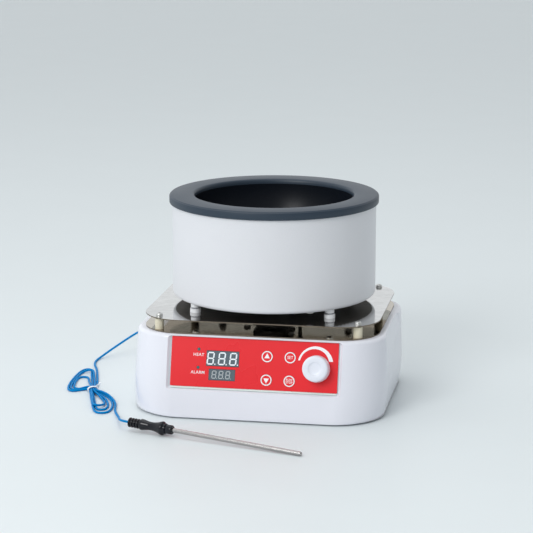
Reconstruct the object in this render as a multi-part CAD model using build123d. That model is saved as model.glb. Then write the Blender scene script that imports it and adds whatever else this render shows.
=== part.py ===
from build123d import *
import os
from math import cos, pi, radians, sin, sqrt, tan

# A heating pot with a magnetic stirrer: a moulded base with a leaning front panel, two
# stainless plates on spacers, and a round pot on four stand-offs, with a sensor on a lead.
# Lengths are millimetres. X runs to the right, Y to the back and Z up. The pieces are drawn
# about the pot's axis, and place() moves them so that the origin lies under the middle of the box.

# fits
fit_gap = 0.3            # clearance between a piece and the opening that it sits in
running_gap = 0.05       # radial clearance of a shaft or a screw in its hole

# pot
collar_radius = 120.0
collar_height = 8.6
collar_outer_round = 3.0
collar_inner_round = 2.2
bowl_radius = 91.0       # inside of the hemispherical bowl
bowl_wall = 3.0
bowl_flange_width = 12.0
bowl_flange_thickness = 2.8
shell_radius = 117.0
shell_wall = 1.2
shell_height = 106.8
shell_floor_round = 4.5
shell_lip_width = 18.0
grille_radius = 30.0     # round grille in the middle of the shell's floor
grille_bar_width = 6.5
grille_bar_pitch = 14.5

# base housing
housing_half_width = 145.0
housing_top_half_width = 142.0
front_reach = 146.0      # from the pot's axis to the foot of the front
rear_reach = 99.5
housing_height = 90.4    # top face above the floor
housing_corner = 56.0
housing_top_corner = 47.0
housing_top_round = 5.0
housing_wall = 3.5
front_lean = 15.5        # degrees from the vertical
floor_gap = 1.6          # the housing's lower edge above the floor

# grip facets on the sides
grip_top_front = -77.0
grip_top_rear = 22.0
grip_foot_front = -95.0
grip_foot_rear = 41.0
grip_top_inset = 2.5     # from the widest line of the top, inwards
grip_top_drop = 0.6      # of the facet's top edge below the housing's top
grip_width = 4.6         # from the facet's top edge out to its foot, at the ends
grip_overrun = 1.6       # the cut runs past the wall by this much of its width
grip_foot_drop = 21.4    # of the foot's two ends below the housing's top
grip_foot_sag = 12.0     # of the foot's middle below its ends

# control panel, in the plane of the front: X across, second size up the slope
panel_width = 187.4
panel_bottom = 36.9
panel_height = 55.0
panel_thickness = 2.0
panel_corner = 1.2
panel_depth = 2.75       # of the panel's face behind the front
tray_wall = 2.5
tray_bevel = 4.0
tray_corner = 5.0
digit_height = 14.2
digit_width = 8.1
digit_pitch = 12.7
digit_stroke = 1.5
digit_place = (-36.3, 69.0)
display_size = (2 * digit_pitch + 11.0, digit_height + 2.6)
display_place = (-35.4, 69.0)
display_sink = 0.25      # of a display's face behind the panel's face
alarm_digit_height = 9.0
alarm_digit_width = 5.2
alarm_digit_pitch = 7.75
alarm_display_size = (2 * alarm_digit_pitch + 13.8, alarm_digit_height + 3.1)
alarm_display_place = (-35.6, 51.1)
alarm_digit_stroke = 1.0
alarm_digit_place = (-36.7, 51.1)
digit_lean = 5.0         # degrees
digit_relief = 0.2
lamp_radius = 1.45
lamp_leg = 0.5
lamp_leg_length = 5.75
heat_lamp_place = (-62.7, 78.5)
alarm_lamp_place = (-62.8, 58.3)
key_columns = (14.4, 40.1)
key_rows = (73.7, 47.8)
key_radius = 6.15
key_thickness = 1.5
key_travel = 0.5
key_proud = 0.3          # of a key's face in front of the panel's
key_stem_radius = 2.0
key_collar_radius = 2.8
key_collar_thickness = 1.0
key_ring_width = 1.1
key_relief = 0.15
arrow_size = 2.7
scale_outer_radius = 19.7
scale_outer_place = (68.4, 67.7)
scale_inner_radius = 16.4
scale_inner_place = (67.2, 68.0)
scale_ends = 71.3
scale_relief = 0.15

# knob and its control
knob_place = (70.0, 62.8)
knob_radius = 15.0
knob_face_radius = 14.0
knob_height = 14.2
knob_lift = 0.6          # above the panel
knob_dimple_radius = 7.0
knob_dimple_depth = 0.6
knob_face_round = 1.4
knob_index = (2.6, 0.8)  # length and width of the mark on its face
knob_index_depth = 0.5
knob_index_reach = 10.8  # from the axis to the mark's middle
knob_cavity_radius = 10.0
knob_cavity_depth = 6.0
knob_bore_depth = 6.0    # beyond the cavity
shaft_radius = 3.0
shaft_bite = 5.5         # of the shaft in the knob's bore
shaft_sink = 4.0         # of the shaft in the control's body
shaft_flat = 1.2         # depth of the flat on the control's shaft
bushing_radius = 3.5
bushing_length = 11.0
control_radius = 8.5
control_depth = 8.0
control_tag = (1.4, 6.0)
control_tag_thickness = 0.8
control_tag_spread = 5.0
nut_flats = 10.0
nut_thickness = 2.0

# circuit board behind the panel
board_width = 127.0
board_left = -75.0
board_bottom = 40.0
board_height = 48.0
board_thickness = 1.6
board_gap = 6.75         # from the tray's back to the board
board_boss_inset = 4.5
board_boss_radius = 3.2
board_screw_radius = 1.25
board_screw_head = 1.6
tact_size = 6.0
tact_height = 3.5
tact_plunger_radius = 1.7
chip_size = (18.0, 12.0)
chip_place = (-30.0, 64.0)
driver_size = (10.0, 10.0)
driver_place = (-52.0, 64.0)
chip_height = 2.5
capacitor_radius = 4.0
capacitor_height = 12.0
capacitor_places = [(0.0, 60.0), (14.0, 60.0)]

# plates and what joins them
plate_half_width = 133.4
plate_front = 118.4
plate_rear = 97.5
plate_corner = 45.0
plate_thickness = 1.2
plate_gap = 13.2
spacer_x = 112.0
spacer_front = 103.0
spacer_rear = 82.0
spacer_radius = 5.0
spacer_washer_radius = 4.5
spacer_washer_thickness = 1.2
screw_radius = 2.0
screw_head_radius = 3.6
screw_head_height = 2.3
column_radius = 5.0      # posts in the housing that take the screws from above and below
cover_screw_length = 12.0

# stand-offs under the pot
pot_gap = 9.7            # from the upper plate to the pot's floor
standoff_x = 76.4
standoff_y = 76.4
foot_radius = 6.2
foot_height = 4.2
band_radius = 4.4
band_height = 1.6
sleeve_radius = 5.3
stud_radius = 2.5
stud_head_radius = 4.2
stud_head_height = 2.8
dome_nut_flats = 8.0
dome_nut_height = 3.2
centre_bolt_x = 26.0
centre_bolt_y = 30.0
centre_bolt_radius = 2.0
centre_bolt_head_radius = 3.4
centre_bolt_head_height = 2.0
centre_sleeve_radius = 3.6
centre_nut_flats = 7.0
centre_nut_height = 2.2
plug_reach = shell_radius - 11.85
plug_angle = -57.8       # degrees from the X axis
plug_radius = 4.6
plug_height = 2.4
plug_neck_radius = 3.2

# heater
element_ring_radius = 62.0
element_tube_radius = 4.0
element_end_length = 10.0    # of the ends that turn down
element_gap = 20.0       # half of the opening between the ends, in degrees
insulation_channel = 359.9   # degrees of the packing's channel for the element
lead_radius = 2.4
lead_end_drop = 22.0     # of the leads' lower ends below the housing's top
terminal_depth = 14.0
terminal_height = 12.0

# stirrer
motor_radius = 30.0
motor_height = 38.0
motor_round = 2.0
motor_screw_x = 20.0
motor_screw_bite = 8.0
motor_shaft_radius = 3.0
motor_shaft_hole = 7.0
motor_shaft_depth = 26.0
magnet_bar_length = 72.0
magnet_bar_width = 38.0
magnet_bar_height = 6.8
magnet_bar_lift = 3.2    # above the lower plate
magnet_radius = 7.0
magnet_height = 4.0
magnet_place = 24.0

# underside
cover_thickness = 1.5
cover_gap = 0.4
cover_screw_low = 0.2    # the heads' faces above the floor
cover_screw_slot = 0.9
foot_x = 92.0
foot_front = 92.0
foot_back = 56.0
rubber_foot_radius = 9.0
rubber_neck_radius = 3.0
vent_count = 6
vent_pitch = 12.0
vent_size = (60.0, 4.0)

# rear fittings: places are X and height
inlet_place = (62.0, 45.0)
inlet_size = (27.0, 19.6)
inlet_flange = (32.0, 25.0)
inlet_cavity = (23.6, 15.6)
inlet_depth = 20.0
inlet_cavity_depth = 15.5
rear_flange = 2.2
pin_size = (2.0, 4.0)
pin_spread = 7.0
pin_drop = 2.2
pin_rise = 3.5
pin_sink = 5.5
pin_tail = 8.0
switch_place = (20.0, 45.0)
switch_size = (15.0, 20.0)
switch_flange = (18.0, 24.0)
switch_depth = 16.0
rocker_width = 10.8
rocker_half_height = 8.6
rocker_tilt = 8.0
rocker_front = 3.0
rocker_back = 1.5
rocker_pin_radius = 1.2
rocker_pin_length = 0.8
rocker_pivot_sink = 2.2
socket_place = (-70.0, 45.0)
socket_radius = 6.0
socket_flange_radius = 8.5
socket_flange = 1.6
socket_neck = 8.0
socket_body = 13.0
socket_nut = 3.0
connector_ring_radius = 7.5
connector_ring_length = 9.0
connector_ring_chamfer = 0.8
connector_body_radius = 5.5
connector_body_length = 9.0
connector_boot_length = 9.0

# sensor lead and probe
cord_radius = 1.25
lead_route = [
    (-70.0, 142.0, 45.0),
    (-77.0, 158.5, 45.2),
    (-93.0, 168.0, 44.2),
    (-119.0, 166.5, 41.6),
    (-152.0, 151.0, 37.6),
    (-187.5, 128.0, 30.8),
    (-217.5, 106.5, 11.8),
    (-233.5, 86.0, 1.3),
    (-234.6, 67.0, 1.3),
    (-230.0, 49.5, 1.3),
    (-223.0, 33.5, 1.3),
]
tail_route = [
    (-162.5, -117.0, 2.0),
    (-157.8, -131.0, 1.4),
    (-151.5, -147.0, 2.2),
    (-144.0, -166.0, 4.4),
    (-140.3, -178.5, 6.6),
    (-136.5, -188.5, 8.6),
    (-130.5, -193.95, 9.4),
]
hank_height = 6.0
hank_floor = 0.05
upper_loop = ((-220.5, -14.0), (98.0, 34.0), 98.7)    # middle, length and width, direction
lower_loop = ((-184.0, -101.0), (90.0, 33.0), -70.0)
waist_ends = ((-205.5, -52.0), (-199.0, -68.0))
waist_width = 10.4
waist_rise = 1.0
tie_wall = 0.9
tie_length = 4.0
probe_end = (-124.7, -195.6, 9.2)
probe_tip = (74.3, -252.4, 2.45)
handle_length = 54.0
handle_radius = 5.2
handle_end_round = 0.5
handle_rib_depth = 0.7
handle_rib_count = 4
handle_rib_pitch = 3.8
handle_rib_width = 2.4
handle_groove_width = 0.6
handle_groove_side = 0.4
handle_waist_radius = 4.6
handle_flare_radius = 7.6
handle_nut_radius = 5.0
handle_nut_length = 7.0
handle_nut_chamfer = 0.8
handle_nut_step = 0.3
handle_flare_setback = 5.0   # of the flare's widest line behind the nut
rod_tip_round = 1.9
rod_radius = 2.4

# derived heights
lower_plate_z = housing_height
lower_plate_top = lower_plate_z + plate_thickness
upper_plate_z = lower_plate_top + plate_gap
upper_plate_top = upper_plate_z + plate_thickness
shell_z = upper_plate_top + pot_gap
shell_top = shell_z + shell_height
bowl_rim = shell_top + bowl_flange_thickness
collar_top = shell_top + collar_height
cover_z = floor_gap + cover_gap
housing_inner_top = housing_height - housing_wall
pot_axis_y = (front_reach - collar_radius) / 2

# derived depths behind the front, measured along its normal
panel_back = panel_depth + panel_thickness
tray_back = panel_back + tray_wall
board_front = tray_back + board_gap
board_back = board_front + board_thickness
panel_middle = panel_bottom + panel_height / 2
plug_place = (plug_reach * cos(radians(plug_angle)), plug_reach * sin(radians(plug_angle)))
front_plane = Plane(
    origin=(0, -front_reach, 0),
    x_dir=(1, 0, 0),
    z_dir=(0, -cos(radians(front_lean)), sin(radians(front_lean))),
)
spacer_places = [
    (-spacer_x, -spacer_front),
    (spacer_x, -spacer_front),
    (-spacer_x, spacer_rear),
    (spacer_x, spacer_rear),
]
standoff_places = [(x, y) for x in (-standoff_x, standoff_x) for y in (-standoff_y, standoff_y)]
centre_bolt_places = [
    (x, y) for x in (-centre_bolt_x, centre_bolt_x) for y in (-centre_bolt_y, centre_bolt_y)
]
rubber_foot_places = [(x, y) for x in (-foot_x, foot_x) for y in (-foot_front, foot_back)]
board_boss_places = [
    (x, y)
    for x in (board_left + board_boss_inset, board_left + board_width - board_boss_inset)
    for y in (board_bottom + board_boss_inset, board_bottom + board_height - board_boss_inset)
]


def disc(radius, low, high, place=(0, 0)):
    """Upright cylinder between two heights."""
    x, y = place
    cylinder = Cylinder(radius, high - low, align=(Align.CENTER, Align.CENTER, Align.MIN))
    return Pos(x, y, low) * cylinder


def block(size, low, high, place=(0, 0)):
    """Upright box between two heights."""
    x, y = place
    box = Box(size[0], size[1], high - low, align=(Align.CENTER, Align.CENTER, Align.MIN))
    return Pos(x, y, low) * box


def hexagon(flats, low, high, place=(0, 0)):
    """Upright hexagonal prism, sized across its flats."""
    x, y = place
    outline = RegularPolygon(flats / 2, 6, major_radius=False)
    return Pos(x, y, low) * extrude(outline, high - low)


def on_front(shape):
    """Move a shape from the XY plane to the plane of the leaning front."""
    return front_plane * shape


def on_rear(shape, place):
    """Stand a shape on the rear wall at a place, with its Z pointing outwards."""
    rear_plane = Plane(origin=(place[0], rear_reach, place[1]), x_dir=(-1, 0, 0), z_dir=(0, 1, 0))
    return rear_plane * shape


def group(shapes):
    """Gather separate solids into one node."""
    return Compound([solid for shape in shapes for solid in shape.solids()])


def pan_screw(top, length, radius=screw_radius, head=screw_head_radius, height=screw_head_height):
    """Pan-head screw with its head's underside at the height given, and a cross recess."""
    head_solid = disc(head, top, top + height)
    head_solid = fillet(head_solid.edges().sort_by(Axis.Z)[-1], height * 0.55)
    slot = Box(head * 1.1, head * 0.26, height)
    recess = Pos(0, 0, top + height) * (slot + Rot(0, 0, 90) * slot)
    return head_solid - recess + disc(radius, top - length, top)


# ---------------------------------------------------------------- housing

def housing_outline(inset, height):
    """Plan outline of the housing at a height, set in by a wall."""
    share = height / housing_height
    half_width = housing_half_width + (housing_top_half_width - housing_half_width) * share
    corner = housing_corner + (housing_top_corner - housing_corner) * share
    lean = radians(front_lean)
    front = -front_reach + height * tan(lean) + inset / cos(lean)
    rear = rear_reach - inset
    outline = RectangleRounded(2 * (half_width - inset), rear - front, corner - inset)
    return Pos(0, (front + rear) / 2, height) * outline


def housing_form(inset, top):
    """Solid form of the housing with its rounded shoulder, set in by a wall."""
    form = loft([housing_outline(inset, floor_gap), housing_outline(inset, top)], ruled=True)
    shoulder = form.faces().sort_by(Axis.Z)[-1].edges()
    return fillet(shoulder, housing_top_round - inset)


def grip_section(reach):
    """Side outline of the cut above a grip facet, at a reach from its top edge outwards."""
    foot_z = housing_height - grip_top_drop - grip_foot_drop * reach
    sag = grip_foot_sag * reach
    front = grip_top_front + (grip_foot_front - grip_top_front) * reach
    rear = grip_top_rear + (grip_foot_rear - grip_top_rear) * reach
    top_z = housing_height + housing_wall
    x = housing_top_half_width - grip_top_inset + grip_width * reach
    if sag == 0:
        foot = Line((x, front, foot_z), (x, rear, foot_z))
    else:
        foot = ThreePointArc(
            (x, front, foot_z),
            (x, (front + rear) / 2, foot_z - sag),
            (x, rear, foot_z),
        )
    sides = Polyline((x, rear, foot_z), (x, rear, top_z), (x, front, top_z), (x, front, foot_z))
    return make_face([foot, sides])


def grip_cut():
    """Ruled cut that leaves a facet with a straight top edge and an arched foot."""
    right = loft([grip_section(0), grip_section(grip_overrun)], ruled=True)
    return right + mirror(right, Plane.YZ)


def tray_cut():
    """Recess in the front for the panel, bevelled at the sides and below."""
    seat = (panel_width + 2 * fit_gap, panel_height + 2 * fit_gap)
    out = 2 * panel_back
    widening = tray_bevel * out / panel_back
    floor = RectangleRounded(*seat, panel_corner + fit_gap)
    mouth = Pos(0, -widening / 2, out) * RectangleRounded(
        seat[0] + 2 * widening, seat[1] + widening, tray_corner
    )
    return on_front(Pos(0, panel_middle, -panel_back) * loft([floor, mouth], ruled=True))


def tray_block():
    """What the housing keeps behind the recess: its floor and the bosses for the board."""
    margin = tray_wall + tray_bevel * (panel_back - housing_wall) / panel_back
    size = (panel_width + 2 * margin, panel_height + 2 * margin)
    tray = block(size, -tray_back, 0, (0, panel_middle))
    for place in board_boss_places:
        tray += disc(board_boss_radius, -board_front, -tray_back, place)
    return on_front(tray)


def front_openings(low, high, gap):
    """Windows, lamp holes and the control's hole through the panel or the tray."""
    shapes = [
        block([size + 2 * gap for size in display_size], low, high, display_place),
        block([size + 2 * gap for size in alarm_display_size], low, high, alarm_display_place),
        disc(lamp_radius + gap, low, high, heat_lamp_place),
        disc(lamp_radius + gap, low, high, alarm_lamp_place),
        disc(bushing_radius + running_gap, low, high, knob_place),
    ]
    return shapes


def key_places():
    """Places of the four keys on the front."""
    return [(x, y) for x in key_columns for y in key_rows]


def base_housing():
    """Moulded shell, open below, with the panel's tray, grip facets and screw posts."""
    inside = housing_form(housing_wall, housing_inner_top) - tray_block()
    for x, y in spacer_places:
        inside -= disc(column_radius, cover_z + cover_thickness, housing_height, (x, y))
    body = housing_form(0, housing_height) - inside - tray_cut() - grip_cut()
    openings = front_openings(-board_front, 0, fit_gap)
    stem_hole = key_stem_radius + fit_gap
    openings += [disc(stem_hole, -board_front, 0, place) for place in key_places()]
    screw_hole = board_screw_radius + running_gap
    openings += [disc(screw_hole, -board_front - 1, -tray_back, place) for place in board_boss_places]
    for opening in openings:
        body -= on_front(opening)
    for place in spacer_places:
        body -= disc(screw_radius + running_gap, 0, housing_height + 1, place)
    body -= disc(motor_shaft_hole, housing_inner_top - 1, housing_height + 1)
    for x in (-motor_screw_x, motor_screw_x):
        body -= disc(screw_radius + fit_gap, housing_inner_top - 1, housing_height + 1, (x, 0))
    for place in lead_places():
        body -= disc(lead_radius + fit_gap, housing_inner_top - 1, housing_height + 1, place)
    through = 2 * housing_wall
    inlet = block([size + 2 * fit_gap for size in inlet_size], -through, through)
    switch = block([size + 2 * fit_gap for size in switch_size], -through, through)
    socket = disc(socket_radius + fit_gap, -through, through)
    body -= on_rear(inlet, inlet_place)
    body -= on_rear(switch, switch_place)
    body -= on_rear(socket, socket_place)
    return body


def bottom_cover():
    """Sheet that closes the housing from below, with vent slots."""
    gap = housing_wall + fit_gap
    plan = Pos(0, 0, -cover_thickness) * housing_outline(gap, cover_z + cover_thickness)
    cover = extrude(plan, cover_thickness)
    vent = extrude(SlotOverall(*vent_size), 3 * cover_thickness)
    for index in range(vent_count):
        y = (index - (vent_count - 1) / 2) * vent_pitch - foot_front / 4
        cover -= Pos(0, y, cover_z - cover_thickness) * vent
    for place in spacer_places:
        cover -= disc(screw_radius + fit_gap, 0, housing_height, place)
    for place in rubber_foot_places:
        cover -= disc(rubber_neck_radius + running_gap, 0, housing_height, place)
    return cover


def rubber_feet():
    """Push-in rubber feet: a disc, a neck in the cover's hole and a barb above it."""
    neck = rubber_neck_radius
    barb_low = cover_z + cover_thickness
    feet = []
    for x, y in rubber_foot_places:
        foot = disc(rubber_foot_radius, 0, cover_z) + disc(neck, cover_z, barb_low)
        foot += Pos(0, 0, barb_low) * Cone(
            neck * 1.4, neck * 0.7, neck, align=(Align.CENTER, Align.CENTER, Align.MIN)
        )
        feet.append(Pos(x, y, 0) * foot)
    return group(feet)


def cover_screws():
    """Screws from below through the cover into the housing's posts."""
    screws = []
    slot = Box(screw_head_radius * 1.3, cover_screw_slot, cover_z - cover_screw_low)
    for x, y in spacer_places:
        screw = disc(screw_head_radius, cover_screw_low, cover_z)
        screw = screw - Pos(0, 0, cover_screw_low) * slot
        screw += disc(screw_radius, cover_z, cover_z + cover_screw_length)
        screws.append(Pos(x, y, 0) * screw)
    return group(screws)


# ---------------------------------------------------------------- control panel

def control_panel():
    """Printed plate in the tray."""
    plate = extrude(RectangleRounded(panel_width, panel_height, panel_corner), panel_thickness)
    plate = Pos(0, panel_middle, -panel_back) * plate
    for opening in front_openings(-panel_back - 1, 0, fit_gap):
        plate -= opening
    for place in key_places():
        plate -= disc(key_radius + fit_gap, -panel_back - 1, 0, place)
    return on_front(plate)


def speed_scale():
    """Printed crescent round the knob, thin at its left end and thick at its right."""
    outer = Pos(*scale_outer_place) * Circle(scale_outer_radius)
    inner = Pos(*scale_inner_place) * Circle(scale_inner_radius)
    span = 3 * scale_outer_radius
    below = Pos(scale_outer_place[0], scale_ends - span / 2) * Rectangle(span, span)
    crescent = extrude(outer - inner - below, scale_relief)
    return on_front(Pos(0, 0, -panel_depth) * crescent)


def display_module(size, place):
    """Display block from the board up to just under the panel's face."""
    return on_front(block(size, -board_front, -panel_depth - display_sink, place))


def segment_bar(start, end, stroke):
    """Six-sided bar of a digit between two ends."""
    (x0, y0), (x1, y1) = start, end
    half = stroke / 2
    if y0 == y1:
        points = [(x0, y0), (x0 + half, y0 + half), (x1 - half, y1 + half)]
        points += [(x1, y1), (x1 - half, y1 - half), (x0 + half, y0 - half)]
    else:
        points = [(x0, y0), (x0 + half, y0 + half), (x1 + half, y1 - half)]
        points += [(x1, y1), (x1 - half, y1 - half), (x0 - half, y0 + half)]
    return points


def digit_row(place, pitch, width, height, stroke):
    """Three figures of seven bars and a point each, leaning to the right."""
    slope = tan(radians(digit_lean))
    right = (width - stroke) / 2
    top = (height - stroke) / 2
    gap = stroke * 0.12
    ends = [
        ((-right + gap, top), (right - gap, top)),
        ((-right + gap, 0), (right - gap, 0)),
        ((-right + gap, -top), (right - gap, -top)),
    ]
    for side in (-right, right):
        ends.append(((side, gap), (side, top - gap)))
        ends.append(((side, -top + gap), (side, -gap)))
    bars = []
    for index in (-1, 0, 1):
        centre = place[0] + index * pitch
        for start, end in ends:
            points = segment_bar(start, end, stroke)
            leaning = [(centre + x + y * slope, place[1] + y) for x, y in points]
            bars.append(extrude(Polygon(*leaning, align=None), digit_relief, dir=(0, 0, 1)))
        point_place = (centre + right + stroke * 1.15, place[1] - top)
        bars.append(disc(stroke * 0.5, 0, digit_relief, point_place))
    face = running_gap - panel_depth - display_sink
    return group(on_front(Pos(0, 0, face) * bar) for bar in bars)


def lamp(place):
    """Indicator lamp: a domed body above the tray and two legs to the board."""
    body_low = lamp_leg_length - board_front
    body = disc(lamp_radius, body_low, -panel_depth)
    body = fillet(body.edges().sort_by(Axis.Z)[-1], lamp_radius * 0.6)
    for x in (-lamp_radius / 2, lamp_radius / 2):
        body += block((lamp_leg, lamp_leg), -board_front, body_low, (x, 0))
    return on_front(Pos(place[0], place[1], 0) * body)


def key_cap(place, arrow):
    """Round key: cap with a raised ring, stem through the tray and a snap collar behind."""
    high = key_proud - panel_depth
    low = high - key_thickness
    collar_high = -tray_back - fit_gap
    collar_low = collar_high - key_collar_thickness
    cap = disc(key_radius, low, high)
    cap += disc(key_radius, high, high + key_relief) - disc(key_radius - key_ring_width, high, high + 1)
    cap += disc(key_stem_radius, collar_low, low)
    cap += disc(key_collar_radius, collar_low, collar_high)
    if arrow:
        tip = arrow_size * arrow
        sides = arrow_size * 0.9
        triangle = Polygon((0, tip), (-sides, -tip * 0.6), (sides, -tip * 0.6), align=None)
        cap += Pos(0, 0, high) * extrude(triangle, key_relief, dir=(0, 0, 1))
    return on_front(Pos(place[0], place[1], 0) * cap)


def key_switches():
    """Push switches on the board, one under each key's stem."""
    plunger_top = -tray_back - 2 * fit_gap - key_collar_thickness - key_travel
    body_top = -board_front + tact_height
    switches = []
    for place in key_places():
        switch = block((tact_size, tact_size), -board_front, body_top)
        switch += disc(tact_plunger_radius, body_top, plunger_top)
        switches.append(Pos(place[0], place[1], 0) * switch)
    return switches


def control_board():
    """Circuit board on the tray's bosses, with the driver chip and the supply parts behind."""
    middle = (board_left + board_width / 2, board_bottom + board_height / 2)
    board = block((board_width, board_height), -board_back, -board_front, middle)
    for place in board_boss_places:
        board -= disc(board_screw_radius + running_gap, -board_back - 1, 0, place)
    return on_front(board)


def board_components():
    """Key switches on the front of the board, chips and capacitors on its back."""
    chip = block(chip_size, -board_back - chip_height, -board_back, chip_place)
    driver = block(driver_size, -board_back - chip_height, -board_back, driver_place)
    capacitors = [
        disc(capacitor_radius, -board_back - capacitor_height, -board_back, place)
        for place in capacitor_places
    ]
    return group(on_front(shape) for shape in key_switches() + [chip, driver] + capacitors)


def board_screws():
    """Small screws from behind into the tray's bosses."""
    screws = []
    for x, y in board_boss_places:
        screw = disc(board_screw_radius * 2, -board_back - board_screw_head, -board_back)
        screw += disc(board_screw_radius, -board_back, -board_back + board_gap)
        screws.append(on_front(Pos(x, y, 0) * screw))
    return group(screws)


# ---------------------------------------------------------------- knob

def on_knob(shape):
    """Move a shape from the origin to the knob's axis on the front."""
    return on_front(Pos(knob_place[0], knob_place[1], 0) * shape)


def beyond_flat(low, high, gap=0):
    """What the flat takes off a round shaft or leaves in its bore."""
    size = (3 * shaft_radius, 2 * shaft_radius)
    return block(size, low, high, (0, 2 * shaft_radius - shaft_flat + gap))


def speed_knob():
    """Moulded knob: tapered side, dished face with an index mark, hollow underside and hub."""
    low = -panel_depth + knob_lift
    high = low + knob_height
    side = Pos(0, 0, low) * Cone(
        knob_radius, knob_face_radius, knob_height, align=(Align.CENTER, Align.CENTER, Align.MIN)
    )
    knob = fillet(side.edges().sort_by(Axis.Z)[-1], knob_face_round)
    dish_radius = (knob_dimple_radius**2 + knob_dimple_depth**2) / (2 * knob_dimple_depth)
    knob -= Pos(0, 0, high + dish_radius - knob_dimple_depth) * Sphere(dish_radius)
    knob -= block(knob_index, high - knob_index_depth, high + 1, (-knob_index_reach, 0))
    knob -= disc(knob_cavity_radius, low - 1, low + knob_cavity_depth)
    bore_top = low + knob_cavity_depth + knob_bore_depth
    bore = disc(shaft_radius + running_gap, low, bore_top)
    return on_knob(knob - (bore - beyond_flat(low, bore_top, running_gap)))


def control_shaft():
    """Shaft of the speed control, with a flat for the knob."""
    flat_low = -panel_depth + knob_lift + knob_cavity_depth
    high = flat_low + shaft_bite
    shaft = disc(shaft_radius, -tray_back - shaft_sink, high)
    return on_knob(shaft - beyond_flat(flat_low, high + 1))


def speed_control():
    """Body and bushing of the rotary control, with its three tags."""
    body = disc(control_radius, -tray_back - control_depth, -tray_back)
    body += disc(bushing_radius, -tray_back, -tray_back + bushing_length)
    body -= disc(shaft_radius + running_gap, -tray_back - shaft_sink - fit_gap, bushing_length)
    tag_high = -tray_back - 2 * control_tag_thickness
    for x in (-control_tag_spread, 0, control_tag_spread):
        place = (x, control_tag[1] / 6 - control_radius - control_tag[1] / 2)
        body += block(control_tag, tag_high - control_tag_thickness, tag_high, place)
    return on_knob(body)


def control_nut():
    """Nut that clamps the control to the panel."""
    nut = hexagon(nut_flats, -panel_depth, -panel_depth + nut_thickness)
    return on_knob(nut - disc(bushing_radius + running_gap, -panel_back, 1))


# ---------------------------------------------------------------- plates

def plate(low, holes):
    """Stainless plate with rounded corners and its holes."""
    depth = plate_front + plate_rear
    outline = RectangleRounded(2 * plate_half_width, depth, plate_corner)
    sheet = Pos(0, (plate_rear - plate_front) / 2, low) * extrude(outline, plate_thickness)
    for radius, place in holes:
        sheet -= disc(radius, low - 1, low + plate_thickness + 1, place)
    return sheet


def lead_places():
    """Where the heater's two leads go straight down."""
    angle = radians(element_gap)
    reach = element_ring_radius
    return [(side * reach * sin(angle), reach * cos(angle)) for side in (-1, 1)]


def lower_plate():
    """Plate on the housing's top."""
    holes = [(screw_radius + running_gap, place) for place in spacer_places]
    holes += [(motor_shaft_hole, (0, 0))]
    holes += [(screw_radius + fit_gap, (x, 0)) for x in (-motor_screw_x, motor_screw_x)]
    holes += [(lead_radius + fit_gap, place) for place in lead_places()]
    return plate(lower_plate_z, holes)


def upper_plate():
    """Plate on the spacers, under the pot."""
    holes = [(screw_radius + running_gap, place) for place in spacer_places]
    holes += [(stud_radius + running_gap, place) for place in standoff_places]
    holes += [(centre_bolt_radius + running_gap, place) for place in centre_bolt_places]
    holes += [(lead_radius + fit_gap, place) for place in lead_places()]
    return plate(upper_plate_z, holes)


def rings(radius, bore, low, high, places):
    """Like rings on every place of a pattern."""
    return group(disc(radius, low, high, p) - disc(bore, low - 1, high + 1, p) for p in places)


def plate_spacers():
    """Moulded sleeves that hold the plates apart."""
    high = upper_plate_z - spacer_washer_thickness
    return rings(spacer_radius, screw_radius + running_gap, lower_plate_top, high, spacer_places)


def spacer_washers():
    """Thin washers between the spacers and the upper plate."""
    low = upper_plate_z - spacer_washer_thickness
    bore = screw_radius + running_gap
    return rings(spacer_washer_radius, bore, low, upper_plate_z, spacer_places)


def spacer_screws():
    """Long screws from the upper plate through the spacers into the housing's posts."""
    length = upper_plate_top - housing_height + housing_wall * 4
    return group(Pos(x, y, 0) * pan_screw(upper_plate_top, length) for x, y in spacer_places)


# ---------------------------------------------------------------- pot

def standoff_feet():
    """White feet of the stand-offs, on the upper plate."""
    bore = stud_radius + running_gap
    high = upper_plate_top + foot_height
    return rings(foot_radius, bore, upper_plate_top, high, standoff_places)


def standoff_bands():
    """Narrow grey bands between the feet and the sleeves."""
    low = upper_plate_top + foot_height
    return rings(band_radius, stud_radius + running_gap, low, low + band_height, standoff_places)


def standoff_sleeves():
    """White sleeves of the stand-offs, up to the pot's floor."""
    low = upper_plate_top + foot_height + band_height
    return rings(sleeve_radius, stud_radius + running_gap, low, shell_z, standoff_places)


def pot_studs():
    """Studs from inside the pot's floor down through the stand-offs and the upper plate."""
    studs = []
    floor = shell_z + shell_wall
    low = upper_plate_z - dome_nut_height
    for place in standoff_places:
        stud = disc(stud_radius, low, floor, place)
        studs.append(stud + disc(stud_head_radius, floor, floor + stud_head_height, place))
    return group(studs)


def dome_nuts():
    """Cap nuts under the upper plate."""
    low = upper_plate_z - dome_nut_height
    dome = dome_nut_flats / 2 - 0.4
    nuts = []
    for x, y in standoff_places:
        nut = hexagon(dome_nut_flats, low, upper_plate_z) + Pos(0, 0, low) * Sphere(dome)
        nut -= disc(stud_radius + running_gap, low, upper_plate_z + 1)
        nuts.append(Pos(x, y, 0) * (nut - disc(2 * dome, upper_plate_z, upper_plate_z + dome)))
    return group(nuts)


def centre_bolts():
    """Bolts that tie the middle of the pot's floor to the upper plate, with their nuts."""
    bolts = []
    floor = shell_z + shell_wall
    low = upper_plate_z - centre_nut_height
    for place in centre_bolt_places:
        bolt = disc(centre_bolt_radius, low, floor, place)
        bolt += disc(centre_bolt_head_radius, floor, floor + centre_bolt_head_height, place)
        bolts.append(bolt + hexagon(centre_nut_flats, low, upper_plate_z, place))
    return group(bolts)


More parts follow.
